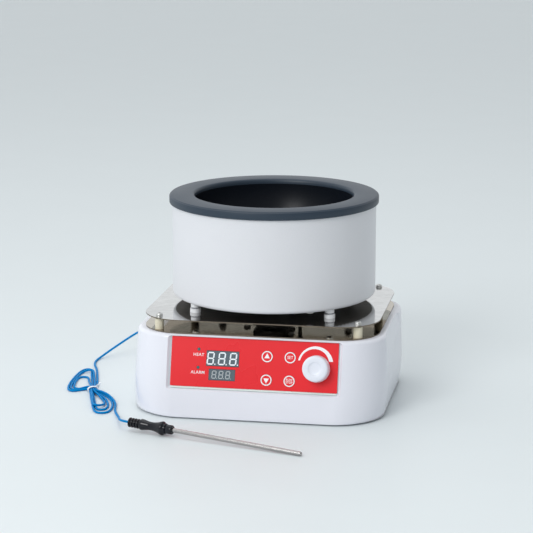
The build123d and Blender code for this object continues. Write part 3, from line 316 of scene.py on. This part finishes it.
key_red = finish("key_red", (0.82, 0.014, 0.022), 0.32, scale=1200.0, shade=0.05, bump=0.01,
                 specular=0.4)
key_face, key_back = -0.00230, -0.00245
key_ring_outer, key_ring_inner = 0.00612, 0.00500
keys = {
    "up_key": ("up_button", 0.0144, 0.0737),
    "down_key": ("down_button", 0.0144, 0.0478),
    "set_key": ("set_button", 0.0401, 0.0737),
    "run_key": ("run_button", 0.0401, 0.0478),
}
for node, (body, x, up) in keys.items():
    dress(key_red, node)
    bpy.ops.mesh.primitive_circle_add(vertices=72, radius=key_ring_outer, fill_type="NGON")
    ring = bpy.context.object
    ring.name = node.replace("_key", "_ring")
    bpy.ops.object.mode_set(mode="EDIT")
    bpy.ops.mesh.inset(thickness=key_ring_outer - key_ring_inner)
    bpy.ops.mesh.delete(type="FACE")
    bpy.ops.mesh.select_all(action="SELECT")
    bpy.ops.mesh.extrude_region_move(TRANSFORM_OT_translate={"value": (0.0, 0.0, print_height)})
    bpy.ops.mesh.select_all(action="SELECT")
    bpy.ops.mesh.normals_make_consistent(inside=False)
    bpy.ops.object.mode_set(mode="OBJECT")
    ring.data.transform(on_panel(x, up, key_face))
    ring.data.materials.append(print_white)
    ring.select_set(False)
    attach(ring, body)
for node, name, words, capital, narrow in (
    ("set_key", "word_set", "SET", 0.0034, 0.80),
    ("run_key", "word_run", "RUN/\nSTOP", 0.0025, 0.85),
):
    body, x, up = keys[node]
    printed_word(name, words, x, up, capital, out=key_back, body=body, narrow=narrow)
arrow_radius, arrow_height, arrow_bevel, arrow_narrow = 0.0037, 0.00028, 0.00006, 0.95
for node, turn in (("up_key", 0.0), ("down_key", math.pi)):
    body, x, up = keys[node]
    bpy.ops.mesh.primitive_cylinder_add(vertices=3, radius=arrow_radius, depth=arrow_height)
    arrow = bpy.context.object
    arrow.name = node.replace("_key", "_arrow")
    bpy.ops.object.mode_set(mode="EDIT")
    bpy.ops.mesh.select_all(action="SELECT")
    bpy.ops.mesh.bevel(offset=arrow_bevel, segments=2, affect="EDGES")
    bpy.ops.object.mode_set(mode="OBJECT")
    arrow.data.transform(Matrix.Diagonal((arrow_narrow, 1.0, 1.0, 1.0)))
    arrow.data.transform(Matrix.Rotation(turn, 4, "Z"))
    arrow.data.transform(on_panel(x, up, key_face))
    arrow.data.materials.append(print_white)
    arrow.select_set(False)
    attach(arrow, body)


# ---------------------------------------------------------------- speed knob
# The knob is a white gloss moulding with a dished face, pushed on the flat of the control's
# steel shaft. Its bushing is clamped to the panel by a thin nut.


def turned(name, profile, steps, crisp=0.5):
    """Piece turned round Z from a half section given in millimetres as (radius, height)."""
    mesh = bpy.data.meshes.new(name)
    points = [(radius / 1000.0, 0.0, height / 1000.0) for radius, height in profile]
    mesh.from_pydata(points, [(index, index + 1) for index in range(len(points) - 1)], [])
    piece = bpy.data.objects.new(name, mesh)
    bpy.context.scene.collection.objects.link(piece)
    bpy.context.view_layer.objects.active = piece
    piece.select_set(True)
    bpy.ops.object.mode_set(mode="EDIT")
    bpy.ops.mesh.select_all(action="SELECT")
    bpy.ops.mesh.spin(
        steps=steps, angle=2 * math.pi, center=(0.0, 0.0, 0.0), axis=(0.0, 0.0, 1.0),
    )
    bpy.ops.mesh.select_all(action="SELECT")
    bpy.ops.mesh.remove_doubles(threshold=0.000002)
    bpy.ops.mesh.normals_make_consistent(inside=False)
    bpy.ops.object.mode_set(mode="OBJECT")
    bpy.ops.object.shade_smooth_by_angle(angle=crisp)
    piece.select_set(False)
    return piece


def cut_slot(piece, size, place, turn=0.0):
    """Cut a straight slot into a piece."""
    bpy.ops.mesh.primitive_cube_add(size=1.0)
    cutter = bpy.context.object
    cutter.data.transform(Matrix.Diagonal((*size, 1.0)))
    cutter.data.transform(Matrix.Translation(place) @ Matrix.Rotation(turn, 4, "Z"))
    cut = piece.modifiers.new("slot", "BOOLEAN")
    cut.object = cutter
    bpy.context.view_layer.objects.active = piece
    bpy.ops.object.modifier_apply(modifier="slot")
    bpy.data.objects.remove(cutter)


knob_section = [
    (0.0, 0.0), (14.6, 0.0), (15.0, 0.4), (14.95, 1.4), (14.2, 12.3), (14.0, 13.1), (13.6, 13.7),
    (12.9, 14.1), (12.0, 14.2), (8.0, 14.2), (7.5, 14.1), (7.1, 13.8), (6.7, 13.5), (6.2, 13.35),
    (4.0, 13.2), (0.0, 13.15),
]
knob_gap = 0.0006
knob = turned("turning_knob", knob_section, 96)
cut_slot(knob, (0.0030, 0.0007, 0.0012), (-0.0104, 0.0, 0.0143))
knob.data.transform(on_panel(0.0700, 0.0628, panel_face + knob_gap))
knob_white = finish("knob_white", (0.80, 0.83, 0.91), 0.26, scale=1500.0, shade=0.02, bump=0.02)
knob.data.materials.append(knob_white)
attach(knob, "knob")
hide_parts("speed_knob")
turned_steel = finish("turned_steel", (0.62, 0.62, 0.61), 0.25, scale=500.0, metallic=1.0,
                      stretch=0.1)
dress(turned_steel, "control_shaft", "control_nut", "drive_shaft", "pot_studs")


# ---------------------------------------------------------------- circuit board
# Behind the tray a green board carries the displays, the key switches and the driver parts.
# It is screwed to four bosses and is only seen from below with the cover off.

dress(finish("board_green", (0.02, 0.20, 0.08), 0.35, scale=600.0), "control_board")
dress(finish("chip_black", (0.02, 0.02, 0.022), 0.5, scale=1500.0), "board_components")
motor_zinc = finish("motor_zinc", (0.50, 0.50, 0.49), 0.38, scale=400.0, metallic=1.0)
dress(motor_zinc, "speed_control", "stirrer_motor")
dress(finish("ceramic_white", (0.80, 0.78, 0.72), 0.6, scale=800.0, bump=0.1), "terminal_block")


# ---------------------------------------------------------------- plates and spacers
# Two sheets of mirror-finish stainless steel with rounded corners, a little smudged by hands,
# stand 13 mm apart on cream moulded spacers with dark washers, held by long screws.

stainless = finish("stainless_plate", (0.62, 0.617, 0.61), 0.06, scale=130.0, cloud=26.0,
                   shade=0.34, spread=0.22, bump=0.03, metallic=1.0)
# The lower sheet is tinted warm brown-grey: painted shade and painted reflection for the gap under
# the upper sheet.
gap_shade_steel = finish("stainless_gap_shade", (0.46, 0.41, 0.34), 0.05, scale=130.0, cloud=20.0,
                   shade=0.25, spread=0.10, bump=0.02, metallic=1.0)
# The sheets' edge faces are painted dark brown: painted shade along the edges.
edge_shade = finish("stainless_edge_shade", (0.20, 0.165, 0.13), 0.35, scale=400.0, metallic=1.0)
level = 0.7
for name, face_finish in (("lower_plate", gap_shade_steel), ("upper_plate", stainless)):
    plate = own_copy(name, name + "_sheet", face_finish, edge_shade)
    # Faces that face neither up nor down take the painted edge shade.
    for face in plate.data.polygons:
        face.material_index = 0 if abs(face.normal.z) > level else 1
    smooth_copy(plate)
    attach(plate, "base_unit")
    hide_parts(name)
dress(finish("spacer_cream", (0.73, 0.67, 0.52), 0.42, scale=900.0, shade=0.05), "plate_spacers")
dress(finish("washer_dark", (0.06, 0.05, 0.045), 0.6), "spacer_washers")

# Each long screw ends in a domed head with a cross recess over a small flange.
head_section = [
    (0.0, -0.2), (3.9, -0.2), (4.0, 0.0), (4.0, 0.5), (3.75, 0.7), (3.7, 1.6), (3.45, 2.4),
    (2.9, 3.0), (2.0, 3.4), (1.0, 3.55), (0.0, 3.6),
]
head = turned("corner_screw", head_section, 32, crisp=0.7)
for turn in (0.0, math.pi / 2):
    cut_slot(head, (0.0040, 0.0008, 0.0024), (0.0, 0.0, 0.0036), turn)
head.data.materials.append(screw_zinc)
head_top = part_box("upper_plate")[1][2]
head_across, head_front, head_rear = 0.1120, -0.0900, 0.0950
head_turn, head_turn_step = 0.5, 0.9
head_places = [(side * head_across, y) for side in (-1, 1) for y in (head_front, head_rear)]
for index, (x, y) in enumerate(head_places):
    screw = head.copy()
    screw.data = head.data.copy()
    screw.name = f"corner_screw_{index + 1}"
    bpy.context.scene.collection.objects.link(screw)
    turn = head_turn + head_turn_step * index
    screw.data.transform(Matrix.Translation((x, y, head_top)) @ Matrix.Rotation(turn, 4, "Z"))
    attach(screw, "base_unit")
bpy.data.objects.remove(head)


# ---------------------------------------------------------------- stand-offs
# The pot stands clear of the plate on four white moulded sleeves, each on a wider foot with
# a narrow grey band between, on a stud that ends in a bright cap nut below the plate.

sleeve_white = finish("sleeve_white", (0.83, 0.84, 0.86), 0.34, scale=1000.0, shade=0.03)
dress(sleeve_white, "standoff_feet", "standoff_sleeves")
dress(finish("band_grey", (0.25, 0.26, 0.28), 0.4), "standoff_bands")
bright_nut = finish("bright_nut", (0.68, 0.68, 0.67), 0.14, scale=500.0, metallic=1.0)
dress(bright_nut, "dome_nuts")
dark_steel = finish("dark_steel", (0.07, 0.065, 0.06), 0.38, scale=600.0, metallic=1.0)
dress(dark_steel, "centre_bolts", "centre_sleeves")


# ---------------------------------------------------------------- pot casing
# The casing is drawn steel sheet, sprayed with a pale grey textured enamel that shows a very
# fine speckle. A white plug closes a spare hole in its floor.

def speckled(name, color, dots, gloss, size, amount, bump):
    """Sprayed finish with fine dots of another shade."""
    material = finish(name, color, gloss, scale=size, shade=0.03, spread=0.08, bump=bump)
    tree = material.node_tree
    shader, effect = tree.nodes["Principled BSDF"], tree.nodes["surface"]
    place = tree.nodes.new("ShaderNodeTexCoord")
    cells = tree.nodes.new("ShaderNodeTexVoronoi")
    cells.inputs["Scale"].default_value = size
    mask = tree.nodes.new("ShaderNodeValToRGB")
    mask.color_ramp.elements[0].position = 0.10
    mask.color_ramp.elements[0].color = (amount, amount, amount, 1.0)
    mask.color_ramp.elements[1].position = 0.30
    mask.color_ramp.elements[1].color = (0.0, 0.0, 0.0, 1.0)
    mix = tree.nodes.new("ShaderNodeMix")
    mix.data_type = "RGBA"
    mix.inputs["B"].default_value = (*dots, 1.0)
    tree.links.new(place.outputs["Object"], cells.inputs["Vector"])
    tree.links.new(cells.outputs["Distance"], mask.inputs["Fac"])
    tree.links.new(mask.outputs["Color"], mix.inputs["Factor"])
    tree.links.new(effect.outputs["Color"], mix.inputs["A"])
    tree.links.new(mix.outputs["Result"], shader.inputs["Base Color"])
    return material


shell_enamel = speckled("shell_enamel", (0.735, 0.74, 0.77), (0.59, 0.61, 0.66), gloss=0.36,
                        size=900.0, amount=0.35, bump=0.08)
# The casing's flat underside is painted dark brown-grey: painted shade under the pot, close over
# the plate.
shell_floor_shade = finish("shell_floor_shade", (0.20, 0.185, 0.17), 0.55, scale=300.0, shade=0.3)
shell = own_copy("outer_shell", "pot_casing", shell_enamel, shell_floor_shade)
floor_slack = 0.0002
shell_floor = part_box("outer_shell")[0][2] + floor_slack
for face in shell.data.polygons:
    under_pot_shade = face.center.z < shell_floor and face.normal.z < -facing
    face.material_index = 1 if under_pot_shade else 0
smooth_copy(shell)
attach(shell, "base_unit")
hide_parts("outer_shell")
dress(finish("plug_white", (0.80, 0.80, 0.78), 0.45), "floor_plug")


# ---------------------------------------------------------------- bowl and collar
# The bowl is cast, with a smooth blue-black coating that shines softly. The collar round it
# is moulded in slate grey, matt with a fine grain, and rests over the bowl's flange.

# The coat's fine lighter dots are painted glints for the coating's sparkle.
bowl_coat = speckled("bowl_coat", (0.003, 0.005, 0.009), (0.05, 0.06, 0.08), gloss=0.33,
                     size=700.0, amount=0.20, bump=0.10)
bowl_coat.node_tree.nodes["Principled BSDF"].inputs["Specular IOR Level"].default_value = 0.22
dress(bowl_coat, "inner_bowl")
collar_slate = finish("collar_slate", (0.017, 0.033, 0.055), 0.44, scale=1600.0, shade=0.12,
                      bump=0.12)
skirt_drop, pot_middle = 1.0, 0.013
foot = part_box("collar_ring")[0][2] * 1000.0 - skirt_drop
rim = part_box("collar_ring")[1][2] * 1000.0
collar_section = [
    (106.5, foot + 4.0), (117.4, foot + 3.4), (117.4, foot), (119.0, foot), (119.7, foot + 0.3),
    (120.0, foot + 1.0), (120.0, rim - 2.2), (119.8, rim - 1.5), (119.3, rim - 1.1),
    (118.9, rim - 0.9), (118.4, rim - 0.25), (117.6, rim), (94.4, rim), (93.2, rim - 0.2),
    (92.2, rim - 0.8), (91.5, rim - 1.8), (91.1, rim - 3.4), (91.0, rim - 5.6),
    (106.5, rim - 5.6), (106.5, foot + 4.0),
]
collar = turned("pot_collar", collar_section, 160, crisp=0.6)
collar.data.transform(Matrix.Translation((0.0, pot_middle, 0.0)))
collar.data.materials.append(collar_slate)
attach(collar, "base_unit")
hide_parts("collar_ring")


# ---------------------------------------------------------------- heater
# A steel-sheathed element rings the bowl in fibre packing, with sleeved leads down through
# both plates. Only the packing shows, behind the grille in the pot's floor.

dress(finish("element_oxide", (0.20, 0.19, 0.18), 0.5, metallic=1.0), "heating_element")
lead_braid = finish("lead_braid", (0.74, 0.72, 0.64), 0.8, scale=2500.0, shade=0.2, bump=0.3)
dress(lead_braid, "heater_leads")
wool = finish("fibre_packing", (0.72, 0.66, 0.50), 0.95, scale=220.0, shade=0.35, bump=0.6)
dress(wool, "insulation")


# ---------------------------------------------------------------- stirrer
# A geared motor under the housing's top turns a black bar with two nickel-plated disc
# magnets in the gap between the plates.

dress(finish("bar_black", (0.060, 0.054, 0.048), 0.42, scale=800.0), "magnet_carrier")
dress(finish("magnet_nickel", (0.60, 0.59, 0.55), 0.22, scale=400.0, metallic=1.0), "drive_magnets")


# ---------------------------------------------------------------- rear fittings
# A mains inlet and a rocker switch snap into the rear wall, and a threaded socket takes the
# sensor's plug. All are black mouldings with plated pins.

black_moulding = finish("black_moulding", (0.022, 0.022, 0.024), 0.42, scale=1200.0, bump=0.08)
dress(black_moulding, "power_inlet", "switch_case", "sensor_connector")
dress(finish("rocker_black", (0.018, 0.018, 0.020), 0.28, scale=900.0), "switch_rocker")
dress(finish("socket_nickel", (0.60, 0.59, 0.56), 0.26, metallic=1.0), "sensor_socket")
dress(finish("pin_plated", (0.70, 0.66, 0.52), 0.24, metallic=1.0), "inlet_pins")


# ---------------------------------------------------------------- sensor lead
# The sensor's lead is a limp blue cable, 2.6 mm thick. It leaves the plug at the back, comes
# down to the bench, is folded in three laps tied at the waist, and ends in the probe's grip.

lead_down = [
    (-0.0700, 0.1414, 0.0450), (-0.0700, 0.1550, 0.0450), (-0.0770, 0.1715, 0.0452),
    (-0.0930, 0.1810, 0.0442), (-0.1190, 0.1795, 0.0416), (-0.1520, 0.1640, 0.0376),
    (-0.1875, 0.1410, 0.0308), (-0.2175, 0.1195, 0.0118), (-0.2335, 0.0990, 0.0013),
    (-0.2346, 0.0800, 0.0013), (-0.2300, 0.0625, 0.0013), (-0.2230, 0.0465, 0.0013),
    (-0.2150, 0.0190, 0.0013), (-0.2080, -0.0070, 0.0013), (-0.2026, -0.0280, 0.0015),
]
outer_lap = [
    (-0.2014, -0.0391, 0.0022), (-0.1961, -0.0521, 0.0022), (-0.1875, -0.0565, 0.0015),
    (-0.1775, -0.0690, 0.0013), (-0.1685, -0.0870, 0.0013), (-0.1636, -0.1070, 0.0013),
    (-0.1635, -0.1235, 0.0013), (-0.1682, -0.1290, 0.0013), (-0.1748, -0.1290, 0.0013),
    (-0.1802, -0.1235, 0.0013), (-0.1860, -0.1080, 0.0013), (-0.1920, -0.0900, 0.0013),
    (-0.1983, -0.0710, 0.0014), (-0.2031, -0.0549, 0.0022), (-0.2084, -0.0419, 0.0022),
    (-0.2128, -0.0400, 0.0017), (-0.2188, -0.0445, 0.0013), (-0.2260, -0.0503, 0.0013),
    (-0.2332, -0.0450, 0.0013), (-0.2376, -0.0250, 0.0013), (-0.2399, 0.0030, 0.0013),
    (-0.2400, 0.0270, 0.0013), (-0.2382, 0.0410, 0.0013), (-0.2328, 0.0460, 0.0013),
    (-0.2274, 0.0415, 0.0013), (-0.2220, 0.0180, 0.0013), (-0.2142, -0.0070, 0.0013),
    (-0.2076, -0.0280, 0.0015),
]
inner_lap = [
    (-0.2037, -0.0400, 0.0022), (-0.1985, -0.0530, 0.0022), (-0.1895, -0.0610, 0.0015),
    (-0.1800, -0.0745, 0.0013), (-0.1733, -0.0900, 0.0013), (-0.1694, -0.1040, 0.0013),
    (-0.1695, -0.1135, 0.0013), (-0.1730, -0.1172, 0.0013), (-0.1778, -0.1170, 0.0013),
    (-0.1810, -0.1120, 0.0013), (-0.1858, -0.0990, 0.0013), (-0.1926, -0.0780, 0.0014),
    (-0.2008, -0.0540, 0.0022), (-0.2060, -0.0410, 0.0022), (-0.2102, -0.0332, 0.0017),
    (-0.2163, -0.0356, 0.0013), (-0.2226, -0.0404, 0.0013), (-0.2284, -0.0360, 0.0013),
    (-0.2322, -0.0200, 0.0013), (-0.2342, -0.0050, 0.0013), (-0.2343, 0.0074, 0.0013),
    (-0.2308, 0.0110, 0.0013), (-0.2260, 0.0110, 0.0013), (-0.2226, 0.0074, 0.0013),
    (-0.2170, -0.0110, 0.0015), (-0.2092, -0.0295, 0.0039),
]
upper_lap = [
    (-0.2049, -0.0405, 0.0044), (-0.1996, -0.0535, 0.0044), (-0.1915, -0.0635, 0.0027),
    (-0.1840, -0.0755, 0.0013), (-0.1785, -0.0860, 0.0013), (-0.1758, -0.0950, 0.0016),
    (-0.1757, -0.1030, 0.0028), (-0.1784, -0.1088, 0.0038), (-0.1828, -0.1096, 0.0042),
    (-0.1868, -0.1045, 0.0040), (-0.1900, -0.0945, 0.0036), (-0.1945, -0.0780, 0.0035),
    (-0.2019, -0.0544, 0.0044),
    (-0.2072, -0.0414, 0.0044), (-0.2115, -0.0366, 0.0036), (-0.2175, -0.0402, 0.0024),
    (-0.2245, -0.0456, 0.0014), (-0.2308, -0.0415, 0.0013), (-0.2350, -0.0230, 0.0013),
    (-0.2371, 0.0030, 0.0013), (-0.2373, 0.0210, 0.0013), (-0.2366, 0.0295, 0.0014),
    (-0.2324, 0.0340, 0.0028), (-0.2263, 0.0338, 0.0043), (-0.2216, 0.0276, 0.0040),
    (-0.2178, 0.0140, 0.0019), (-0.2110, -0.0070, 0.0014), (-0.2052, -0.0280, 0.0031),
]
to_probe = [
    (-0.2026, -0.0395, 0.0044), (-0.1973, -0.0525, 0.0044), (-0.1895, -0.0550, 0.0040),
    (-0.1805, -0.0640, 0.0039), (-0.1720, -0.0760, 0.0032), (-0.1642, -0.0905, 0.0019),
    (-0.1610, -0.1040, 0.0013), (-0.1578, -0.1180, 0.0013), (-0.1515, -0.1340, 0.0022),
    (-0.1440, -0.1530, 0.0044), (-0.1403, -0.1655, 0.0066), (-0.1365, -0.1755, 0.0086),
    (-0.1305, -0.1810, 0.0094), (-0.1247, -0.1826, 0.0092),
]
lead_points = lead_down + outer_lap + inner_lap + upper_lap + to_probe
lead_radius = 0.00130
lead_curve = bpy.data.curves.new("sensor_lead", "CURVE")
lead_curve.dimensions = "3D"
lead_curve.bevel_depth = lead_radius
lead_curve.bevel_resolution = 5
lead_curve.resolution_u = 8
lead_line = lead_curve.splines.new("NURBS")
lead_line.points.add(len(lead_points) - 1)
for knot, place in zip(lead_line.points, lead_points):
    knot.co = (*place, 1.0)
lead_line.order_u = 3
lead_line.use_endpoint_u = True
lead = bpy.data.objects.new("sensor_lead", lead_curve)
bpy.context.scene.collection.objects.link(lead)
cord_blue = finish("cord_blue", (0.0, 0.215, 0.54), 0.42, scale=900.0, shade=0.06, specular=0.05)
lead_curve.materials.append(cord_blue)
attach(lead, "base_unit")
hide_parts("cord_lead", "cord_hank", "cord_tail")


# ---------------------------------------------------------------- probe
# The probe is a closed stainless tube with a rounded tip, clamped in a gloss black grip with
# ribs at the lead's end and a flare before its nut.

grip_end, probe_tip = Vector((-0.1247, -0.1826, 0.0092)), Vector((0.0743, -0.2394, 0.00245))
rib_count, rib_pitch = 4, 3.4
grip_section = [(0.0, 0.0), (3.6, 0.0), (4.3, 0.3)]
for rib in range(rib_count):
    low = rib_pitch * rib
    grip_section += [
        (4.7, low + 0.4), (5.2, low + 0.7), (5.4, low + 1.3), (5.2, low + 1.9), (4.7, low + 2.2),
        (3.9, low + 2.5), (3.9, low + 3.2),
    ]
grip_section += [
    (4.9, 14.0), (5.6, 14.5), (6.0, 15.3), (6.1, 16.4), (6.0, 17.6), (5.6, 19.6), (5.1, 22.0),
    (4.75, 24.5), (4.6, 27.0), (4.65, 29.0), (4.9, 31.5), (5.35, 34.0), (6.1, 36.6), (7.0, 39.0),
    (7.45, 40.3), (7.6, 41.2), (7.5, 42.0), (7.0, 42.8), (6.3, 43.4), (5.9, 44.0), (5.9, 45.3),
    (5.7, 45.7), (4.9, 46.0), (4.9, 46.9), (5.1, 47.2), (5.1, 52.6), (4.9, 53.3), (4.2, 54.0),
    (0.0, 54.0),
]
grip = turned("probe_grip", grip_section, 40, crisp=0.7)
grip.data.transform((probe_tip - grip_end).to_track_quat("Z", "Y").to_matrix().to_4x4())
grip.data.transform(Matrix.Translation(grip_end))
grip_black = finish("grip_black", (0.004, 0.005, 0.009), 0.09, scale=900.0, spread=0.05,
                    bump=0.01, specular=0.38)
grip.data.materials.append(grip_black)
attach(grip, "base_unit")
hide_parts("probe_handle")
probe_steel = finish("probe_steel", (0.42, 0.405, 0.40), 0.24, scale=300.0, metallic=1.0,
                     stretch=0.2)
dress(probe_steel, "probe_rod")


# ---------------------------------------------------------------- tie
# A white plastic-covered wire tie goes once round the laps at their waist, with its two
# flat ends twisted together and left standing off to the side.

tie_white = finish("tie_white", (0.84, 0.86, 0.88), 0.35, scale=1200.0)
tie_middle = Vector((-0.20225, -0.0470, 0.0039))
tie_along = Vector((0.376, -0.926, 0.0))
tie_across = Vector((0.926, 0.376, 0.0))
tie_radius, tie_wire, tie_squeeze = 0.0050, 0.0009, (1.16, 0.66, 2.0)
bpy.ops.mesh.primitive_torus_add(
    major_segments=48, minor_segments=12, major_radius=tie_radius, minor_radius=tie_wire,
)
tie = bpy.context.object
tie.name = "tie_band"
tie_turn = Matrix((tie_across, Vector((0.0, 0.0, 1.0)), tie_along)).transposed().to_4x4()
tie.data.transform(Matrix.Diagonal((*tie_squeeze, 1.0)))
tie.data.transform(Matrix.Translation(tie_middle) @ tie_turn)
bpy.ops.object.mode_set(mode="EDIT")
bpy.ops.mesh.select_all(action="SELECT")
bpy.ops.mesh.normals_make_consistent(inside=False)
bpy.ops.object.mode_set(mode="OBJECT")
bpy.ops.object.shade_smooth()
tie.data.materials.append(tie_white)
tie.select_set(False)
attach(tie, "base_unit")
tail_width, tail_length, tail_thickness = 0.0030, 0.0090, 0.0006
tail_twist, tail_bend, tail_lean = 260.0, 22.0, math.radians(28)
tail_foot = (-0.1995, -0.0455, 0.0052)
bpy.ops.mesh.primitive_grid_add(x_subdivisions=3, y_subdivisions=18, size=1.0)
tail = bpy.context.object
tail.name = "tie_tail"
tail.data.transform(Matrix.Diagonal((tail_width, tail_length, 1.0, 1.0)))
tail.data.transform(Matrix.Translation((0.0, tail_length / 2, 0.0)))
tail.data.transform(Matrix.Rotation(math.radians(90), 4, "X"))
for vertex in tail.data.vertices:
    turn = Matrix.Rotation(tail_twist * vertex.co.z, 3, "Z")
    vertex.co = turn @ vertex.co
    vertex.co.x += tail_bend * vertex.co.z**2
thickness = tail.modifiers.new("thickness", "SOLIDIFY")
thickness.thickness, thickness.offset = tail_thickness, 0.0
bpy.ops.object.modifier_apply(modifier="thickness")
bpy.ops.object.shade_smooth_by_angle(angle=0.7)
tail.data.transform(Matrix.Translation(tail_foot) @ Matrix.Rotation(tail_lean, 4, "Y"))
tail.data.materials.append(tie_white)
tail.select_set(False)
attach(tail, "base_unit")
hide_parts("cord_tie")


# ---------------------------------------------------------------- bench, light and camera
# The appliance stands on a plain pale bench in soft studio light from the upper left, and is
# seen from a little to the right and above.

bpy.ops.mesh.primitive_plane_add(size=14.0, location=(0.0, 3.0, 0.0))
bench = bpy.context.object
bench.name = "bench"
bench_pale = finish("bench_pale", (0.74, 0.79, 0.805), 0.45, scale=8.0, shade=0.02, bump=0.0,
                    specular=0.2)
bench.data.materials.append(bench_pale)
bench.select_set(False)

world = bpy.data.worlds.new("studio")
bpy.context.scene.world = world
world.use_nodes = True
sky, back = world.node_tree, world.node_tree.nodes["Background"]
around, parts = sky.nodes.new("ShaderNodeTexCoord"), sky.nodes.new("ShaderNodeSeparateXYZ")
sky.links.new(around.outputs["Generated"], parts.inputs[0])
weigh_depth, weigh_side = sky.nodes.new("ShaderNodeMath"), sky.nodes.new("ShaderNodeMath")
weigh_depth.operation = weigh_side.operation = "MULTIPLY_ADD"
sky_strength, rear_gain, right_gain = 0.71, 0.20, -0.27
weigh_depth.inputs[1].default_value = rear_gain
weigh_depth.inputs[2].default_value = sky_strength
weigh_side.inputs[1].default_value = right_gain
sky.links.new(parts.outputs["Y"], weigh_depth.inputs[0])
sky.links.new(parts.outputs["X"], weigh_side.inputs[0])
sky.links.new(weigh_depth.outputs[0], weigh_side.inputs[2])
sky.links.new(weigh_side.outputs[0], back.inputs["Strength"])
back.inputs["Color"].default_value = (0.95, 0.98, 1.0, 1.0)
bpy.context.scene.view_settings.view_transform = "Standard"


def soft_light(name, place, aim, size, power):
    """Square soft box that looks at a point."""
    bpy.ops.object.light_add(type="AREA", location=place)
    lamp = bpy.context.object
    lamp.name = name
    lamp.data.shape = "SQUARE"
    lamp.data.size = size
    lamp.data.energy = power
    lamp.rotation_euler = (Vector(aim) - Vector(place)).to_track_quat("-Z", "Y").to_euler()
    lamp.select_set(False)


light_aim = (0.0, 0.0, 0.1)
soft_light("key_light", (-0.95, -2.2, 1.65), light_aim, size=1.2, power=31.0)
soft_light("top_light", (-0.3, 0.3, 2.2), light_aim, size=1.6, power=8.0)

camera_data = bpy.data.cameras.new("camera")
camera_data.sensor_width = 36.0
camera_data.lens = 132.2
camera_data.clip_end = 100.0
camera = bpy.data.objects.new("camera", camera_data)
bpy.context.scene.collection.objects.link(camera)
camera.location = (0.3864, -2.1602, 0.6326)
camera.rotation_euler = (math.radians(77.53), 0.0, math.radians(10.31))
bpy.context.scene.camera = camera
